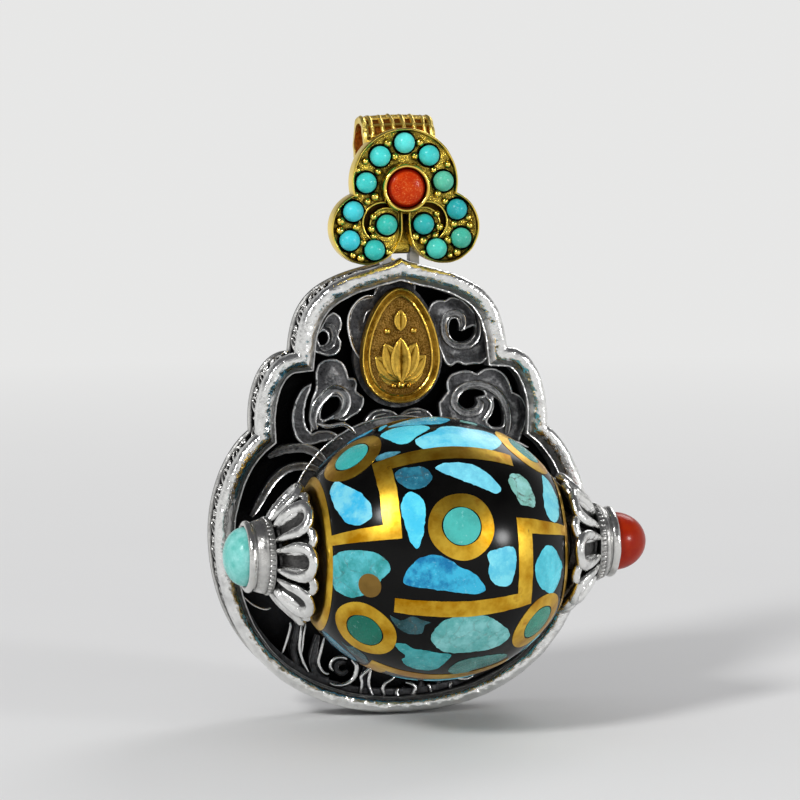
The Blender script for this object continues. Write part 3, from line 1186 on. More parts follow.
CHIP_TINTS = dict(strokes("""
A 63,196,242 133,226,246 B 32,100,124 54,138,162 C 72,206,242 104,228,248 D 50,108,122 92,166,188 E
88,218,242 110,232,248 F 84,202,236 136,230,247 G 40,166,206 98,208,236 H 12,122,176 62,190,228 I
106,200,226 132,228,246 J 128,190,178 158,218,214 K 112,216,236 140,236,248 M 90,202,232 130,230,247 N
80,200,220 104,226,244 O 52,158,160 92,196,206 P 28,66,70 52,96,104 Q 94,176,174 136,206,206 R 46,148,152
74,178,182 S 44,104,98 78,138,132
"""))
CHIP_ROCK = {"J": 0.9, "Q": 0.35, "O": 0.4, "B": 0.6, "P": 0.5, "S": 0.3}

# %% [markdown]
# ## Chips on the barrel
# Broken stone has a rough outline, so two noises nibble at each smooth line. A chip is then laid flush:
# its edge ends under the black, and its rings shrink towards its middle. One place is a bronze spot
# instead of a stone.


# %% Chips on the barrel
def patch_rings(loop, middle, proud):
    rings = [on_wheel(loop[:, 0], loop[:, 1], SUNK)]
    for share in np.linspace(0, 1, 6):
        shrunk = loop + (np.array(middle) - loop) * min(share, 0.995)
        rings.append(on_wheel(shrunk[:, 0], shrunk[:, 1], proud))
    return rings


def turn_by(degrees):
    """A matrix that turns rows of (across, up) by some degrees."""
    c, s = math.cos(math.radians(degrees)), math.sin(math.radians(degrees))
    return np.array([[c, s], [-s, c]])


CHIP_ROUGH, CHIP_PROUD, SPOT, SPOT_PROUD = 0.085, 0.004, (-7.28, -10.5), 0.016
chips = Stock()
rng = np.random.default_rng(11)
for key, [(x, degrees, *change)] in CHIP_PLACES:
    across, about, turn = change or (1, 1, 0)
    line = smooth_line(CHIPS[key], 5, closed=True) * (across, about)
    rough = np.array([noise.noise(Vector((*p, degrees)) * 2.2) + 0.6 * noise.noise(Vector((*p, x)) * 6)
                      for p in line])
    line = line * (1 + CHIP_ROUGH * rough / np.linalg.norm(line, axis=1))[:, None]
    per_degree = math.radians(1) * float(barrel(x))
    loop = line @ turn_by(turn) / (1, per_degree) + (x, degrees)
    shade = rng.uniform(0.94, 1.03)
    deep, pale = (tuple(np.clip(np.array(tone(*tint)) * shade, 0, 1)) for tint in CHIP_TINTS[key])
    chips.loft(patch_rings(loop, (x, degrees), CHIP_PROUD), tint=(*pale, 1), deep=(*deep, 1),
               matrix=CHIP_ROCK.get(key, 0.0))
new_piece("turquoise_chips", chips, turquoise, "wheel", [], 60)
spot = Stock().loft([eye_ring(SPOT, 1.0, SUNK)]
                    + [eye_ring(SPOT, r, SPOT_PROUD) for r in (1.0, 0.95, 0.6, 0.01)])
new_piece("bronze_spot", spot, bronze, "wheel", [], 50)

# %% [markdown]
# ## Scroll panel
# Inside the rim lies a sheet of blackened silver, pierced into cloud scrolls: scalloped heads with a
# spiral in each, tendrils between them, and a leaf that the plaque sits on. The lines were drawn over the
# photograph in millimetres.

# %% Cloud drawings: scalloped arcs, each starting where the one before it ends, then the holes
CLOUDS = []
for word, line in strokes("""
cloud 3,19.55 3.53,19.87 4.21,19.85
arc 4.82,20.13 5.66,19.87 6.26,19.41 6.79,18.78
arc 7.94,18.75 8.69,17.24 8.68,15.76 8.06,14.89
arc 7.44,14.31 6.67,14.26
arc 5.91,14.18 5.23,14.41 4.69,14.13 4.16,14.42 3.79,15.32
arc 3.05,17.11 2.61,18.9
hole 4.54,17.73 4.73,18.17 5.19,18.2 5.41,17.71 5.4,17.19 5.79,17.18 6.24,17.39 6.78,17.52 6.77,16.85
6.31,16.31 5.55,16.18 4.86,16.44 4.54,17.07
cloud 3.56,10.73 3.75,11.24 4.33,11.96
arc 4.25,12.71 4.61,13.39 5.37,13.67 6.21,13.73 7,13.44
arc 7.74,13.86 8.66,13.8 9.42,13.33 9.88,12.6 10.15,11.77
arc 10.87,11.37 11.25,10.76 11.47,9.71 11.15,8.53 10.68,7.35
arc 10.13,6.02 7.83,6.1 4.77,6.96 3.87,8.49
hole 5.34,10.89 5.35,11.48 5.81,11.96 6.65,12.11 7.42,11.93 7.64,11.56 6.88,11.36 6.95,10.83 6.64,10.47
5.95,10.42
hole 8.41,11.31 8.87,10.99 9.24,10.09 9.31,9.04 9,8.75 8.31,8.78 7.85,9.24 8.24,9.82 8.48,10.56
cloud -7.02,14.62 -6.41,15.01 -5.59,15.09 -4.91,14.77 -4.52,14.1 -4.33,13.43
arc -3.81,13.37 -3.59,12.89 -3.67,12.3 -3.45,12.07
arc -3.04,11.69 -3.08,11.03 -3.47,10.45 -4.15,10.03 -4.76,9.65
arc -5.96,9.87 -7.32,9.1 -7.78,8.75
arc -7.75,9.3 -7.85,10.4 -7.6,11.7 -7.25,12.6 -7.25,13.96
hole -6.86,10.34 -6.54,11.22 -5.93,11.79 -5.26,11.76 -5.04,11.17 -5.27,10.58 -5.96,10.16 -6.64,9.89
cloud -8.47,12.53 -9.17,11.16 -9.34,9.69 -8.91,8.27 -7.94,7.72 -6.44,8.04 -4.78,8.13
arc -5.83,8.85 -6.88,8.98 -7.6,8.75
arc -8.1,9.3 -8.25,10.4 -8.05,11.6 -7.7,12.5 -7.57,13.09
cloud -6.52,18.27 -6.21,18.78 -5.61,19.06 -5.09,18.75 -4.87,18.15 -4.95,17.64
arc -5.18,17.06 -4.97,16.54 -5.05,15.88 -5.43,15.45 -6.11,15.33 -7.23,15.65
arc -7.52,16.54 -7.05,17.41
hole -6.98,17.11 -6.6,17.47 -6.23,17.31 -6.13,16.8 -6.39,16.36 -6.84,16.38
"""):
    if word == "cloud":
        CLOUDS.append(([], []))
    arcs, holes = CLOUDS[-1]
    (holes if word == "hole" else arcs).append(line)
RIBBONS = [(float(width), path) for width, path in strokes("""
0.62 5.51,17.22 5.79,17.7 5.64,18.44 5.04,18.71 4.31,18.48 4.01,17.75 4.15,16.78 4.71,16.1 5.54,15.85
6.38,15.98 6.97,16.63 7.09,17.51 6.87,18.63
0.7 6.98,11.31 7.28,10.82 7.02,10.24 6.25,10.01 5.41,10.29 4.93,10.98 5.09,11.71 5.74,12.29 6.66,12.52
7.57,12.41 8.49,11.97 9.17,11.21 9.58,10.22 9.7,9.17 9.56,8.13
0.85 -5.63,10.08 -4.97,10.42 -4.59,11.15 -4.65,11.89 -5.17,12.42 -5.85,12.45 -6.61,11.81 -7.3,10.95
-7.54,9.92 -7.32,9.1
0.5 -6.37,17.98 -5.85,17.89 -5.59,17.22 -5.79,16.34 -6.4,16 -6.77,16.08
0.8 -11.47,6.9 -10.47,7.38 -9.47,7.53 -8.27,7.5 -7.27,7.07 -6.55,6.39
0.7 -13.02,1.84 -12.47,2.67 -11.65,4.02 -10.84,5.04 -9.83,5.75 -8.82,5.98 -7.82,5.91 -6.96,5.55
""")]
DARK_RIBBONS = [(float(width), path) for width, path in strokes("""
0.6 -9.1,-7.5 -9.35,-8.8 -9.5,-9.7 -9.35,-10.6 -9.0,-11.5 -8.6,-12.2
0.7 -7.3,-8.7 -7.65,-10.1 -7.8,-11.0 -7.6,-11.8 -7.1,-12.35 -6.4,-12.5
0.5 -4.9,-11.2 -5.4,-11.15 -5.75,-11.45 -5.65,-11.9 -5.2,-12.1 -4.75,-11.85
0.55 -3.3,-11.6 -3.25,-12.5 -3.2,-13.4 -3.15,-14.4
0.5 0.1,-13.6 0.35,-13.9 0.25,-14.2 -0.05,-14.1
0.6 1.8,-13.1 1.75,-13.8 1.95,-14.5
0.6 3.3,-13.0 3.45,-13.7 3.4,-14.5
""")]
LIPS = [(float(width), path) for width, path in strokes("""
0.13 7.72,11.48 8.2,10.79 7.94,9.98 7.39,9.33
0.2 -7.17,9.61 -6.27,9.32 -5.06,9.47 -4.39,9.22 -3.79,8.58
0.13 -2.13,20.38 -2.81,20.4 -3.57,19.95 -4.18,19.09 -4.37,18.07 -4.21,16.89 -3.85,15.84 -3.03,14.64
0.09 -2.3,19.26 -2.75,18.9 -3.02,18.1
0.08 -2.5,9.45 -2.04,10.06 -1.13,10.26
0.08 0.24,10.02 1,10.25 1.91,10.31
0.15 2.35,-13.33 2.51,-13.82 2.62,-14.46
0.15 4.46,-13.3 4.3,-13.62 4.39,-14.12
0.12 -13.85,-4.99 -13.1,-5.68 -12.45,-6.04 -11.88,-6.2 -11.41,-6.09
0.14 -9.72,-7.43 -9.78,-7.9 -9.98,-8.64 -10.23,-9.38 -10.52,-10.12
0.17 -8.78,-7.67 -8.91,-8.79 -9,-9.63 -8.89,-10.3 -8.64,-11.07 -8.22,-11.84
0.1 -8.4,-7.68 -8.6,-8.62 -8.71,-9.55 -8.82,-10.3
0.17 -6.79,-8.89 -7.15,-10.19 -7.35,-10.94 -7.21,-11.51 -6.84,-11.96 -6.41,-12.07
0.15 -4.82,-10.88 -5.2,-10.67 -5.77,-10.69 -6.2,-11 -6.31,-11.46 -6.07,-11.81
0.24 -4.43,-10.9 -4.01,-11.48 -4.07,-12.14 -4.41,-12.7 -5.04,-13.04 -5.8,-13.1 -6.37,-12.88
0.17 -2.72,-11.55 -3.06,-11.96 -3.59,-12.45 -3.55,-13.12 -3.71,-14.15
0.17 -2.72,-11.74 -2.93,-12.96 -2.79,-13.73 -2.47,-14.5
0.18 -0.61,-12.6 -1,-12.87 -1.54,-13.22 -1.69,-13.78 -1.5,-14.46
0.22 -0.32,-13.62 -0.49,-14.08 -0.15,-14.53 0.33,-14.6 0.91,-14.3 1.19,-13.74 0.92,-13.35 0.34,-13.13
""")]

# %% [markdown]
# ## Cut sheet
# A saw follows one arc, stops, turns and follows the next, which leaves a sharp notch between them. So
# each arc is smoothed on its own and the arcs are joined.

# %% Cut lines and flat plates
PANEL_TOP, PANEL_BACK = 11.42, 12.25


def cut_line(arcs):
    """One closed line from arcs; each starts where the one before it ends."""
    starts = [arcs[k - 1][-1] for k in range(len(arcs))]
    return np.vstack([smooth_line([start, *arc], 5)[:-1] for start, arc in zip(starts, arcs)])


def flat_ring(line, depth):
    line = np.asarray(line, float)
    return np.stack([line[:, 0], np.full(len(line), float(depth)), line[:, 1]], 1)


def flat_plate(stock, line, holes=(), top=PANEL_TOP, back=PANEL_BACK, **marks):
    loops = [np.asarray(line, float)] + [np.asarray(hole, float) for hole in holes]
    faces = tessellate_polygon([[Vector((x, z, 0)) for x, z in loop] for loop in loops])
    flat = np.vstack(loops)
    for depth in (top, back):
        stock.add(flat_ring(flat, depth), faces, **marks)
    for loop in loops:
        stock.loft([flat_ring(loop, top), flat_ring(loop, back)], **marks)


print("points of the first cloud:", len(cut_line(CLOUDS[0][0])))

# %% [markdown]
# ## Swelling clouds
# A chaser punches a groove inside each edge and leaves the middle of the cloud swelling up. So the sheet
# is filled with a fine net of points, and the depth of each is set by how far it lies from the nearest
# edge: a rolled lip, a groove, then a swell.


# %% Clouds with relief
def inside(points, loop):
    x, z = points[:, 0], points[:, 1]
    odd = np.zeros(len(points), bool)
    for (ax, az), (bx, bz) in zip(loop, np.roll(loop, -1, 0)):
        if az != bz:
            odd ^= ((az > z) != (bz > z)) & (x < (bx - ax) * (z - az) / (bz - az) + ax)
    return odd


def in_sheet(points, loops):
    kept = inside(points, loops[0])
    for hole in loops[1:]:
        kept &= ~inside(points, hole)
    return kept


def away_from(points, loops):
    nearest = np.full(len(points), 9.0)
    for loop in loops:
        for a, step in zip(loop, np.roll(loop, -1, 0) - loop):
            t = np.clip(((points - a) @ step) / max(step @ step, 1e-9), 0, 1)
            nearest = np.minimum(nearest, np.linalg.norm(points - a - t[:, None] * step, axis=1))
    return nearest


LIFT, GRAIN, NET = 0.16, 0.05, 0.2


def relief(points, off, top):
    wave = np.array([noise.noise(Vector((*p, 0)) * 1.3) + 0.5 * noise.noise(Vector((*p, 3)) * 3.5)
                     for p in points])
    lip = np.exp(-((off - 0.1) / 0.085) ** 2)
    swell = np.clip((off - 0.16) / 0.7, 0, 1) ** 1.5
    depth = top + 0.05 - LIFT * 0.62 * lip - LIFT * swell - GRAIN * wave
    return depth, lip * 0.95 + 0.3 * swell + 0.12 * wave


def sculpted(stock, line, holes=(), top=PANEL_TOP):
    """A cloud: a rolled lip along every edge, a groove behind it, and a face that swells to its middle."""
    loops = [np.asarray(line, float)] + [np.asarray(hole, float) for hole in holes]
    low, high = loops[0].min(0), loops[0].max(0)
    across, up = np.meshgrid(np.arange(low[0], high[0], NET), np.arange(low[1], high[1], NET * 0.87))
    across[1::2] += NET / 2
    grid = np.stack([across.ravel(), up.ravel()], 1)
    for loop in loops:
        edge = np.roll(loop, -1, 0) - np.roll(loop, 1, 0)
        edge /= np.linalg.norm(edge, axis=1)[:, None] + 1e-9
        normal = np.stack([-edge[:, 1], edge[:, 0]], 1)
        grid = np.vstack([grid] + [loop + normal * reach for reach in (-0.2, -0.09, 0.09, 0.2)])
    grid = grid[in_sheet(grid, loops) & (away_from(grid, loops) > 0.06)]
    edges, n = [], 0
    for loop in loops:
        edges += [(n + k, n + (k + 1) % len(loop)) for k in range(len(loop))]
        n += len(loop)
    found, _, faces, *_ = delaunay_2d_cdt([Vector(p) for p in np.vstack(loops + [grid])], edges, [], 0, 1e-4)
    flat = np.array([tuple(v) for v in found])
    kept = in_sheet(np.array([flat[list(face)].mean(0) for face in faces]), loops)
    depth, rub = relief(flat, away_from(flat, loops), top)
    start = len(stock.points)
    stock.add(np.stack([flat[:, 0], depth, flat[:, 1]], 1),
              [tuple(face) for face, keep in zip(faces, kept) if keep])
    stock.marks[start:] = [{"lip": float(value)} for value in rub]
    stock.add(flat_ring(np.vstack(loops), PANEL_BACK),
              tessellate_polygon([[Vector((x, z, 0)) for x, z in loop] for loop in loops]))
    for loop in loops:
        upper = np.stack([loop[:, 0], relief(loop, np.zeros(len(loop)), top)[0], loop[:, 1]], 1)
        stock.loft([upper, flat_ring(loop, PANEL_BACK)], lips=[0.25, 0])


# %% [markdown]
# ## Tendrils and lips
# The spirals are bands with a raised lip along each side. The thinnest lines of the sheet are wires:
# Geometry Nodes sweep a round section along them, and a mark on each point says how thick the wire is
# there.


# %% Bands and wires
def ribbon(stock, path, width, rubbed=1.0, top=PANEL_TOP - 0.2):
    """A band with two raised lips; it narrows to both its ends."""
    line = smooth_line(path, 5)
    t = np.linspace(0, 1, len(line))
    half = width / 2 * (0.45 + 0.55 * np.minimum(1, np.minimum(t, 1 - t) * 5) ** 0.7)
    along = np.gradient(line, axis=0)
    along /= np.linalg.norm(along, axis=1)[:, None]
    side = np.stack([-along[:, 1], along[:, 0]], 1)
    right_half = [(0.48, top + 0.12, 0.45), (0.64, top + 0.03, 0.9), (0.8, top, 1), (0.93, top + 0.04, 1),
                  (1, top + 0.14, 0.5), (1, PANEL_BACK, 0)]
    left_half = [(-share, depth, lip) for share, depth, lip in right_half[::-1]]
    section = left_half + [(0, top + 0.15, 0.3)] + right_half
    rings = [flat_ring(line + side * (share * half)[:, None], depth) for share, depth, lip in section]
    stock.loft(rings, around=False, closed=True, lips=[lip * rubbed for share, depth, lip in section])


def write_lips(book, inputs):
    thick = book.node("GeometryNodeInputNamedAttribute", {"data_type": "FLOAT"}, {"Name": "thick"})
    curve = book.node("GeometryNodeMeshToCurve", {}, {"Mesh": inputs["Geometry"]})
    section = book.node("GeometryNodeCurvePrimitiveCircle", {},
                        {"Resolution": inputs["Sides"], "Radius": inputs["Thickness"]})
    return book.node("GeometryNodeCurveToMesh", {},
                     {"Curve": curve, "Profile Curve": section, "Scale": thick, "Fill Caps": True})


lips_tree = grown("lips_along_edges", {
    "Geometry": "NodeSocketGeometry", "Thickness": "NodeSocketFloat", "Sides": "NodeSocketInt",
    "Finish": "NodeSocketMaterial"}, write_lips)


def lips(name, lines, material, depth):
    """Wires for lines of (radius in mm, points, closed); open ones taper to their ends."""
    points, edges, thick = [], [], []
    for radius, line, closed in lines:
        start, n = len(points), len(line)
        points += flat_ring(line, depth).tolist()
        edges += [(start + k, start + k + 1) for k in range(n - 1)]
        edges += [(start + n - 1, start)] if closed else []
        t = np.linspace(0, 1, n)
        taper = np.ones(n) if closed else 0.35 + 0.65 * np.minimum(1, np.minimum(t, 1 - t) * 6) ** 0.6
        thick += (radius * taper).tolist()
    source = scratch("lines", metres(points), edges, thick=thick)
    mesh = grow(name, lips_tree, source, {"Thickness": MM, "Sides": 8, "Finish": material}, 60)
    clear(source)
    return mesh


# %% [markdown]
# ## Seat of the plaque
# The teardrop is an ogee: two curves and their mirror image. A margin makes it larger for the seat and
# smaller for the mouldings.


# %% Teardrop
PLAQUE_TOP, PLAQUE_BOTTOM, PLAQUE_HALF, PLAQUE_TALL = 21.1, 11.2, 3.45, 9.9


def teardrop(margin, steps=14):
    top, bottom, half = PLAQUE_TOP + margin, PLAQUE_BOTTOM - margin, PLAQUE_HALF + margin
    wide = PLAQUE_BOTTOM + 0.39 * PLAQUE_TALL
    low, high = wide - 0.22 * PLAQUE_TALL, wide + 0.27 * PLAQUE_TALL
    t = np.linspace(0, 1, steps, endpoint=False)[:, None]
    half_line = np.vstack([bezier(*map(np.array, pull), t) for pull in (
        ((0, bottom), (half * 0.62, bottom), (half, low), (half, wide)),
        ((half, wide), (half, high), (half * 0.5, top), (0, top)))])
    return np.vstack([half_line, [(0, top)], half_line[1:][::-1] * (-1, 1)])


print("points of the teardrop:", len(teardrop(0)))

# %% [markdown]
# ## Cutting the panel
# All of it is one pierced sheet on the real case. Here its parts overlap each other a little and share
# one finish, so no seam shows. The lowest lines are drawn again on the other side, where the photograph
# shows only their shade.

# %% Cut the panel
panel = Stock()
for arcs, holes in CLOUDS:
    sculpted(panel, cut_line(arcs), [smooth_line(hole, 3, closed=True) for hole in holes])
for width, path in RIBBONS:
    ribbon(panel, path, width)
for width, path in DARK_RIBBONS:
    ribbon(panel, path, width, 0.3, PANEL_TOP)
lip_lines = [(width, smooth_line(path, 5), False) for width, path in LIPS]
lip_lines += [(min(width, 0.2), smooth_line(path, 5) * (-1, 1), False)
              for width, path in LIPS[-14:] + RIBBONS[-2:] if min(x for x, z in path) < -4]
flat_plate(panel, case_ring(1.32, 0)[:, ::2], [case_ring(1.8, 0)[:, ::2]], lip=0.25)
circle = np.stack([np.cos(waves), np.sin(waves)], 1)
WELL_OUTER, WELL_INNER = circle * 10.0, circle * 8.6
flat_plate(panel, WELL_OUTER, [WELL_INNER])
lip_lines += [(0.12, WELL_OUTER, True), (0.12, WELL_INNER, True)]
flat_plate(panel, teardrop(0.45), lip=0.3)
LEAF_SEAT = [[(-4.37, 18.07), (-3.57, 19.95), (-2.13, 20.38)], [(-1.6, 21.5), (0, 23)],
             [(1.6, 21.5), (1.4, 20.2)], [(1.2, 17), (0, 14)], [(-2, 13), (-3.85, 15.84)]]
sculpted(panel, cut_line(LEAF_SEAT), top=PANEL_TOP + 0.06)
SMALL_CLOUD = [[(-2.79, 9.98), (-2.18, 10.48), (-1.35, 10.63), (-0.52, 10.42), (0.01, 10.03)],
               [(0.7, 10.5), (1.53, 10.65), (2.37, 10.44), (2.89, 10.01), (3.27, 9.25)],
               [(2, 8.2), (0, 7.9), (-2, 8.2), (-3.1, 9.32)]]
sculpted(panel, cut_line(SMALL_CLOUD), top=PANEL_TOP + 0.04)
new_piece("scroll_plates", panel, panel_silver, "case", ["scroll_panel"], 40)
lip_mesh = lips("scroll_lips", lip_lines, lip_silver, PANEL_TOP - 0.03)
settle("scroll_lips", lip_mesh, "case", ["scroll_panel"])

# %% [markdown]
# ## Dark lining
# Through the piercing one looks into a blackened box. A thin lining of its walls and floor gives that
# darkness a surface.

# %% Dark lining behind the scrolls
lining = Stock().loft([case_ring(d, y) for d, y in
                       ((1.28, 10.56), (1.28, 13.09), (1.2, 13.09), (1.2, 10.56))],
                      closed=True)
flat_plate(lining, case_ring(1.26, 0)[:, ::2], top=13.0, back=13.09)
new_piece("dark_lining", lining, void_black, "case", ["back_plate"])

# %% [markdown]
# ## Gold plaque
# The teardrop plaque is a heavy little casting: a thin bright edge, a broad polished rim that slopes in,
# a second lip, and a sandy field. Its section is swept round the teardrop.

# %% Plaque
PLAQUE_SECTION = [
    (0.35, 11.15, 0.2), (0, 11.15, 0.3), (0, 10.34, 0.5), (0.02, 10.22, 0.9), (0.08, 10.15, 1),
    (0.14, 10.17, 0.9), (0.2, 10.25, 0.35), (0.42, 10.33, 0.25), (0.58, 10.37, 0.4), (0.62, 10.3, 0.9),
    (0.69, 10.27, 1), (0.76, 10.32, 0.9), (0.8, 10.5, 0.2),
]
plaque_line = teardrop(0, 26)
plaque = Stock().loft([flat_ring(inset(plaque_line, d), y) for d, y, lip in PLAQUE_SECTION],
                      lips=[lip for d, y, lip in PLAQUE_SECTION])
new_piece("plaque_frame", plaque, gold_plaque, "case", ["plaque"])
field = Stock()
flat_plate(field, inset(plaque_line, 0.78), top=10.49, back=11.14, lip=0.45)
new_piece("plaque_field", field, gold_sand, "case", ["plaque"])

# %% [markdown]
# ## Lotus on the plaque
# A plain lotus stands on the field: seven rounded petals on one foot, a bud above them, and five small
# beads. Each petal is domed from its outline to its spine, and the ones in front stand higher.

# %% Petals of the plaque's lotus: foot across and up, length, width, lean in degrees, front
LEAF_SECTION = [(0, 0, 0), (0, 0.72, 0.5), (0.06, 0.88, 1), (0.16, 0.96, 1), (0.32, 0.9, 0.5),
                (0.6, 0.92, 0.6), (0.85, 0.86, 0.4), (0.985, 0.74, 0.1)]
FIELD_DEPTH = 10.52
SIDE_PETALS = [(0.5, 13.35, 2.5, 1.2, 80, 10.44), (0.3, 13.1, 3.3, 1.35, 50, 10.36),
               (0.12, 13, 3.7, 1.35, 24, 10.27)]
BEADLETS = [(0.32, -1.15, 17.4), (0.32, 1.15, 17.4), (0.36, 0, 12.75),
            (0.24, -0.66, 12.7), (0.24, 0.66, 12.7)]


def domed_leaf(stock, foot, length, width, lean, front, steps=14):
    pulls = (0, 0), (width, length * 0.3), (width * 0.8, length * 0.75), (0, length)
    right_edge = bezier(*map(np.array, pulls), np.linspace(0, 1, steps)[:, None])
    edge = np.vstack([right_edge, right_edge[1:-1][::-1] * (-1, 1)])
    spine = edge * (0, 0.8) + (0, 0.1 * length)
    stock.loft([flat_ring((edge + (spine - edge) * share) @ turn_by(lean) + foot,
                          FIELD_DEPTH - (FIELD_DEPTH - front) * lift) for share, lift, lip in LEAF_SECTION],
               lips=[lip for share, lift, lip in LEAF_SECTION])


lotus = Stock()
for across, up, length, width, lean, front in SIDE_PETALS:
    for side in (1, -1):
        domed_leaf(lotus, (side * across, up), length, width, side * lean, front)
domed_leaf(lotus, (0, 12.95), 3.9, 1.35, 0, 10.15)
domed_leaf(lotus, (0, 17.35), 1.9, 0.85, 0, 10.2, steps=10)
for radius, x, z in BEADLETS:
    profile = [(radius, FIELD_DEPTH), (radius * 0.92, 10.34), (radius * 0.6, 10.2), (0, 10.15)]
    lotus.loft(turned(profile, 20, "y", (x, 0, z)), lip=0.9)
new_piece("lotus_ornament", lotus, gold_plaque, "case", ["plaque_lotus"], 50)

# %% [markdown]
# ## Bail
# The bail is a three-lobed gold box with a thin raised edge, open in a slit between its lower lobes. Its
# outline is traced once round three circles. A crescent is sunk into the field of each lower lobe.

# %% Bail outline
HEAD, HEAD_RADIUS, LOBE, LOBE_RADIUS = np.array([0, 30.15]), 4.6, np.array([3.35, 26.35]), 3.1
MEET = np.array([4.506, 29.226])
SLIT_HALF, SLIT_TOP = 0.25, 27.5


def arc(middle, radius, start, end, steps):
    """Part of a circle, from one angle up to but not at another, in degrees."""
    angle = np.radians(np.linspace(start, end, steps, endpoint=False))
    return np.stack([middle[0] + radius * np.cos(angle), middle[1] + radius * np.sin(angle)], 1)


def heading(point, middle):
    return math.degrees(math.atan2(point[1] - middle[1], point[0] - middle[0]))


slit = np.stack([np.full(6, SLIT_HALF), np.linspace(SLIT_TOP, 26.35, 6, endpoint=False)], 1)
lobe_line = arc(LOBE, LOBE_RADIUS, -180, heading(MEET, LOBE), 60)
head_line = arc(HEAD, HEAD_RADIUS, heading(MEET, HEAD), 90, 36)
half = np.vstack([slit, lobe_line, head_line])
bail_line = np.vstack([half, [(0, HEAD[1] + HEAD_RADIUS)], half[::-1] * (-1, 1)])
print("bail outline points:", len(bail_line))

# %% Lines of the bail plate
BAIL_SECTION = [(0.0, 9.5), (0.0, 8.06), (0.03, 7.95), (0.09, 7.9), (0.15, 7.93), (0.19, 8.02), (0.23, 8.16),
                (0.28, 8.28), (0.32, 8.3)]
OUTER_MIDDLE, OUTER_RADIUS, INNER_MIDDLE, INNER_RADIUS = (1.95, 26.8), 1.7, (1.6, 26.6), 1.4


def bail_ring(distance, depth):
    """The bail's outline drawn in; the two sides of the slit stay straight and apart."""
    drawn = inset(bail_line, distance)
    across = np.where(bail_line[:, 0] > 0, 1, -1)
    near = (drawn[:, 0] * across < SLIT_HALF + distance * 0.98) & (bail_line[:, 1] < SLIT_TOP + 0.01)
    drawn[near, 0] = across[near] * (SLIT_HALF + distance * 0.98)
    return flat_ring(drawn, depth)


def crescent(side, grow_by=0.0):
    """The gap between two circles: its outer edge, then its inner edge back."""
    outer, inner = np.array(OUTER_MIDDLE) * (side, 1), np.array(INNER_MIDDLE) * (side, 1)
    big, small = OUTER_RADIUS + grow_by, INNER_RADIUS - grow_by
    gap = outer - inner
    apart = np.linalg.norm(gap)
    reach = (apart**2 + big**2 - small**2) / (2 * apart)
    if abs(reach) < big:  # the circles cross, and the crescent runs from one crossing to the other
        small_reach = (apart**2 + small**2 - big**2) / (2 * apart)
        spread = math.degrees(math.acos(np.clip(-reach / big, -1, 1)))
        small_spread = math.degrees(math.acos(np.clip(small_reach / small, -1, 1)))
    else:  # grown apart they no longer cross, and its two points are left a little open
        spread, small_spread = 176, 172
    middle = math.degrees(math.atan2(gap[1], gap[0]))
    return np.vstack([arc(outer, big, middle - spread, middle + spread, 22),
                      arc(inner, small, middle + small_spread, middle - small_spread, 22)])


print("points of a crescent:", len(crescent(1)))

# %% Bail plate: the edge, then the field with the knuckle behind it, then the floors of the crescents
bail = Stock().loft([bail_ring(d, y) for d, y in BAIL_SECTION])
flat_plate(bail, bail_line, top=9.5, back=9.49)
bail.hand_made(0.035, 0.9, back=9.4)
new_piece("bail_edge", bail, gold_polished, "bail", ["bail_plate"])
bail_floor = Stock()
field_line = bail_ring(BAIL_SECTION[-1][0], 0)[:, ::2]
flat_plate(bail_floor, field_line, [crescent(side) for side in (-1, 1)], top=8.3, back=9.48)
KNUCKLE_HALF, KNUCKLE_PLACE = 0.75, (0, 10.6, 25)
strap = [(-KNUCKLE_HALF, 9.5), (-KNUCKLE_HALF, 10.35), (KNUCKLE_HALF, 10.35), (KNUCKLE_HALF, 9.5)]
bail_floor.loft([[(x, y, z) for x, y in strap] for z in (24.9, 25.4, 28.2, 28.4)], caps=True)
knuckle = [(0.5, -KNUCKLE_HALF), (0.95, -KNUCKLE_HALF), (1.0, -0.68), (1.0, 0.68), (0.95, KNUCKLE_HALF),
           (0.5, KNUCKLE_HALF)]
bail_floor.loft(turned(knuckle, 40, middle=KNUCKLE_PLACE), closed=True)
new_piece("bail_field", bail_floor, gold_field, "bail", ["bail_plate"])
sunk = Stock()
for side in (-1, 1):
    flat_plate(sunk, crescent(side, 0.06), top=9.2, back=9.47)
new_piece("crescent_floors", sunk, hollow_gold, "bail", ["bail_plate"])

# %% [markdown]
# ## Edges of the crescents
# Each crescent has a soft raised edge, as if the gold had been pushed up by the tool that cut it. Two
# wires along its arcs, sunk by half into the field, give that edge.

# %% Edges of the crescents
curls = []
for side in (-1, 1):
    for middle, radius, end, wire in ((OUTER_MIDDLE, 1.72, 40, 0.1), (INNER_MIDDLE, 1.42, 60, 0.08)):
        middle = np.array(middle) * (side, 1)
        curls.append((wire, arc(middle, radius, 90 - side * 150, 90 + side * end, 30), False))
curl_mesh = lips("bail_curls", curls, gold_polished, 8.27)
settle("bail_curls", curl_mesh, "bail", ["bail_plate"])

# %% [markdown]
# ## Granules
# The field is sown with gold balls of slightly different sizes, which a goldsmith melts from clippings of
# wire. One ball is copied onto the places of all of them.

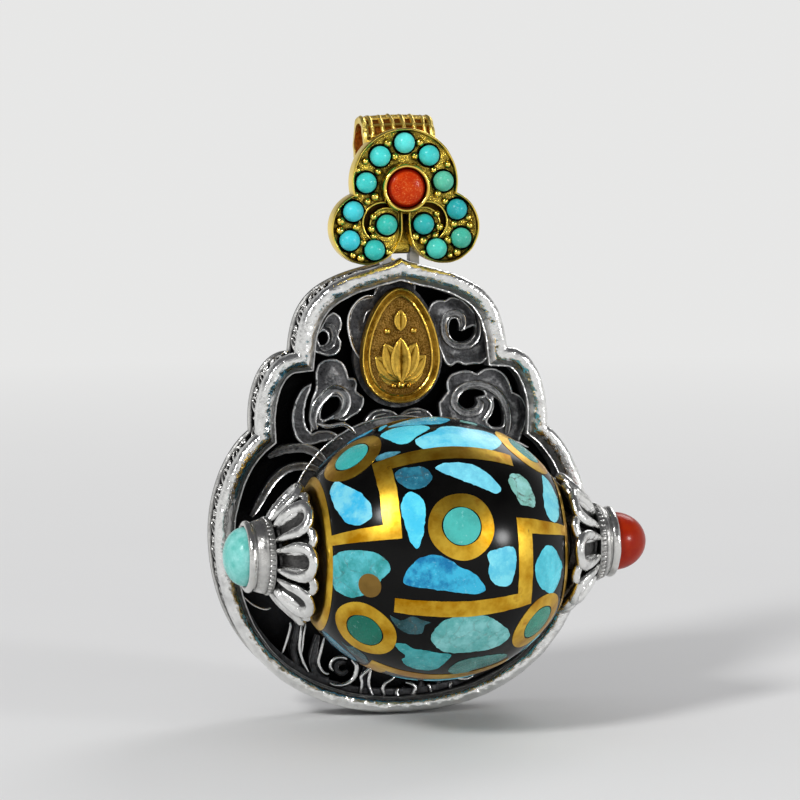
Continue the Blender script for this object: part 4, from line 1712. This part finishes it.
# %% Granules
GRANULES = dict(strokes("""
places -1.45,33.5 1.35,33.5 -0.85,32.35 0.9,32.35 -3.4,32.0 -4.1,31.3 -2.3,31.1 2.5,31.15 -4.25,29.2
-2.6,29.0 2.85,29.15 3.5,28.5 -3.25,28.6 -5.6,27.0 -5.65,26.2 -4.25,26.45 -2.75,27.3 -2.95,26.3 -3.7,25.15
-2.75,25.65 -1.5,24.3 -4.6,24.1 -3.9,23.85 2.75,27.45 2.95,26.35 0.85,25.55 2.6,25.65 3.7,25.2 1.55,25.2
1.5,24.2 4.5,24.15 3.85,23.9 4.25,26.55 5.6,26.4 3.75,31.6 5.5,27.1
"""))["places"]
grain = Stock().loft([turned_ring(max(math.sin(a), 1e-3), math.cos(a), 10, "y")[:, [0, 2, 1]]
                      for a in np.linspace(0, math.pi, 7)])
rng = np.random.default_rng(5)
spots = np.array([(x, 8.22, z) for x, z in GRANULES])
count = len(spots)
to_front, to_right = (np.tile(way, (count, 1)) for way in ([0, -1, 0], [1, 0, 0]))
grain_mesh = repeated("gold_granules", grain, spots, to_front, to_right, gold_polished,
                      sizes=rng.uniform(0.29, 0.4, count))
settle("gold_granules", grain_mesh, "bail")

# %% [markdown]
# ## Beads
# Thirteen turquoise beads of 1.7 mm are pressed into the field, no two quite of one colour. Round each
# lies a dark seat, where the setting was left black.

# %% Beads and their seats
HALF_BEADS = [(2.12, 32.4), (3.35, 30.2), (4.5, 27.8), (4.85, 25.35), (2.7, 24.5), (1.6, 26.6)]
BEADS = [(0, 33.5)] + [(-x, z) for x, z in HALF_BEADS] + HALF_BEADS
BEAD_TINTS = [(98, 236, 230), (76, 222, 216), (70, 216, 210), (74, 216, 226), (70, 222, 236), (62, 206, 196),
              (62, 206, 190), (72, 216, 212), (100, 208, 176), (48, 186, 190), (78, 196, 170), (82, 214, 196),
              (52, 190, 188)]
BEAD_RADIUS, BEAD_MIDDLE = 0.87, 8.13
bead_profile = [(0, 8.35)] + [(BEAD_RADIUS * math.cos(a), BEAD_MIDDLE - BEAD_RADIUS * math.sin(a))
                              for a in np.linspace(-math.asin(0.25), math.pi / 2, 12)]
SEAT_SECTION = [(0.8, 8.32), (1.0, 8.26), (1.06, 8.285), (1.06, 8.34), (0.8, 8.34)]
seats = Stock()
for number, ((x, z), tint) in enumerate(zip(BEADS, BEAD_TINTS), 1):
    bead = Stock().loft(turned(bead_profile, 32, "y", (x, 0, z)), **stone(tint))
    new_piece(f"turquoise_bead_{number}", bead, turquoise, "bail", [f"bail_bead_{number}"], 60)
    seats.loft(turned(SEAT_SECTION, 28, "y", (x, 0, z)), closed=True)
new_piece("bead_seats", seats, seat_black, "bail")

# %% [markdown]
# ## Coral of the bail
# A flat coral with a rounded shoulder sits in a turned collar, which is rubbed over its edge. The shoulder
# carries the "edge" mark, because coral looks darker where light grazes it.

# %% Collar and coral
COLLAR_SECTION = [(1.64, 8.3), (2.1, 8.3), (2.1, 8.0), (2.06, 7.6), (2.02, 7.42), (1.96, 7.34), (1.88, 7.32),
                  (1.8, 7.35), (1.73, 7.44), (1.68, 7.58), (1.64, 7.75)]
CORAL_SECTION = [(0, 8.3, 1), (1.63, 8.3, 1), (1.63, 7.7, 1), (1.58, 7.56, 1), (1.5, 7.47, 1),
                 (1.43, 7.4, 0.9), (1.36, 7.32, 0.15), (1.22, 7.25, 0), (0.95, 7.15, 0), (0.6, 7.07, 0),
                 (0.3, 7.04, 0), (0, 7.03, 0)]
CORAL_MIDDLE, CORAL_SIDES = (0, 0, 29.7), 56
collar = Stock().loft(turned(COLLAR_SECTION, 64, "y", CORAL_MIDDLE), closed=True)
new_piece("coral_collar", collar, gold_polished, "bail", ["bail_collar"], 60)
disc = Stock().loft(turned([(r, y) for r, y, edge in CORAL_SECTION], CORAL_SIDES, "y", CORAL_MIDDLE))
disc.marks = [{"edge": float(edge)} for r, y, edge in CORAL_SECTION for _ in range(CORAL_SIDES)]
new_piece("coral_disc", disc, coral, "bail", ["bail_coral"], 60)

# %% [markdown]
# ## Cord tube
# Behind the bail's head a swelling barrel takes the cord. It is a cage of gold ribs and crossbars over a
# darker, reddish core, with a plain flange at each end.

# %% Core and ribs of the tube
TUBE_HALF, TUBE_BORE, TUBE_END, TUBE_SWELL = 3.1, 1.7, 2.16, 0.17


def swell(x):
    return TUBE_END + TUBE_SWELL * (1 - (x / TUBE_HALF) ** 2)


core_profile = [(TUBE_BORE, -3)] + [(swell(x) - 0.14, x) for x in np.linspace(-3, 3, 15)] + [(TUBE_BORE, 3)]
core = Stock().loft(turned(core_profile, 48, middle=CORD_BORE), closed=True)
new_piece("tube_core", core, tube_red, "bail", ["bail_tube"])
cage = Stock()
for x in np.linspace(-2.3, 2.3, 6):
    r = swell(x)
    section = [(r - 0.16, x - 0.2), (r, x - 0.17), (r + 0.1, x - 0.09), (r + 0.14, x), (r + 0.1, x + 0.09),
               (r, x + 0.17), (r - 0.16, x + 0.2)]
    cage.loft(turned(section, 56, middle=CORD_BORE), closed=True)
for side in (-1, 1):
    flange = [(TUBE_BORE, 3.1), (TUBE_BORE, 2.7), (swell(2.7) - 0.1, 2.62), (swell(2.7) + 0.1, 2.7),
              (swell(2.8) + 0.17, 2.86), (swell(3) + 0.12, 3.02), (2.2, 3.1)]
    cage.loft(turned([(r, side * x) for r, x in flange], 56, middle=CORD_BORE), closed=True)
cage.hand_made(0.1, 0.8)
new_piece("tube_ribs", cage, tube_gold, "bail", ["bail_tube"])

# %% Crossbars of the tube: one bar with a trapezoid section, copied round the cord
BARS, BAR_START = 14, 8
bar = Stock().loft([[(x, -(swell(x) + out), up) for out, up in (
    (-0.1, 0.13), (0.06, 0.09), (0.06, -0.09), (-0.1, -0.13))]
    for x in np.linspace(-2.75, 2.75, 15)], caps=True)
bars = around_axle("tube_bars", bar, BARS, BAR_START, tube_gold, middle=metres(CORD_BORE)[0])
settle("tube_bars", bars, "bail", ["bail_tube"])

# %% [markdown]
# ## Plain pieces that stay as they are
# The arms, axle, liner, lugs and pin already have their real shape in the frame. They get a small bevel
# and the finishes of their neighbours.

# %% Finishes for the solids that stay
for node, material in {
    "left_arm": plain_silver, "right_arm": plain_silver, "axle": plain_silver, "wheel_liner": brass_turned,
    "left_hinge_lug": plain_silver, "right_hinge_lug": plain_silver, "hinge_pin": gold_polished,
}.items():
    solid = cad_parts[node]
    solid.data.materials.clear()
    solid.data.materials.append(material)
    soften = solid.modifiers.new("soften", "BEVEL")
    soften.width, soften.segments, soften.angle_limit = 0.08 * MM, 2, math.radians(40)

# %% [markdown]
# ## Floor, air and lamps
# A plain pale floor lies just under the case, and three soft lamps light it from the front left, the
# right and behind. What the camera and polished metal see is a pale horizon that grows darker overhead.
# Far from the pendant the floor glows in the horizon's own tone, so no line shows between the two.

# %% Floor
def far_away(book, start, end):
    away = book.node("ShaderNodeVectorMath", {"operation": "LENGTH"}, {0: book.place()}, out="Value")
    return away.between(start, end)


def seen_rays(book):
    """1 for rays that go to the camera or are mirrored, 0 for those that only light matt surfaces."""
    ray = book.node("ShaderNodeLightPath")
    camera_ray, glossy_ray, clear_ray = (ray.output(f"Is {kind} Ray") for kind in ("Camera", "Glossy",
                                                                                   "Transmission"))
    return (camera_ray + glossy_ray + clear_ray).clamped()


PALE, PALER = (0.8, 0.8, 0.795), (0.83, 0.83, 0.825)
REACH, UNDER = 6, 0.0001
floor_z = metres([0, 0, CASE_BOTTOM])[0][2] - UNDER
floor = scratch("floor", [(REACH * x, REACH * y, floor_z) for x, y in ((-1, -1), (1, -1), (1, 1), (-1, 1))],
                faces=[(0, 1, 2, 3)])
material = finish("floor", lambda book: {"Base Color": book.mix(book.noise(40, 2), PALE, PALER)},
                  Roughness=0.9)
book = Nodes(material.node_tree)
surface = next(Wire(book, node.outputs[0]) for node in material.node_tree.nodes
               if node.type == "BSDF_PRINCIPLED")
end = next(node for node in material.node_tree.nodes if node.type == "OUTPUT_MATERIAL")
glow = book.node("ShaderNodeEmission", {}, {"Color": PALE})
fade = far_away(book, 0.06, 0.35) * seen_rays(book)
both = book.node("ShaderNodeMixShader", {}, {0: fade, 1: surface, 2: glow})
material.node_tree.links.new(both.socket, end.inputs["Surface"])
floor.data.materials.append(material)
print("floor at", round(floor_z, 4))

# %% Air: what shines sees the pale horizon, what is matt gets an even grey
world = bpy.data.worlds.new("air")
bpy.context.scene.world = world
world.use_nodes = True
world.node_tree.nodes.clear()
air = Nodes(world.node_tree)
direction = air.node("ShaderNodeTexCoord", out="Generated")
height = air.node("ShaderNodeSeparateXYZ", {}, {0: direction}, out="Z")
overhead = air.mix(height.between(0.04, 0.6), PALE, (0.1, 0.1, 0.105))
colour = air.mix(seen_rays(air), (0.42, 0.42, 0.43), overhead)
air.node("ShaderNodeOutputWorld", {}, {"Surface": air.node("ShaderNodeBackground", {}, {"Color": colour})})
print("nodes of the air:", len(world.node_tree.nodes))


# %% Lamps: place and size in metres, and power in watts
LIT = Vector((0, -0.01, -0.03))


def lamp(name, place, size, watts):
    data = bpy.data.lights.new(name, "AREA")
    data.shape, data.size, data.energy = "DISK", size, watts
    thing = bpy.data.objects.new(name, data)
    thing.location = place
    thing.rotation_euler = (LIT - Vector(place)).to_track_quat("-Z", "Y").to_euler()
    bpy.context.scene.collection.objects.link(thing)
    print("lamp:", name, watts, "W")


lamp("key", (-0.48, -0.4, 0.42), 0.16, 2.9)
lamp("fill", (0.46, -0.46, 0.1), 0.11, 1.2)
lamp("back", (0.44, 0.5, 0.48), 0.35, 1.3)
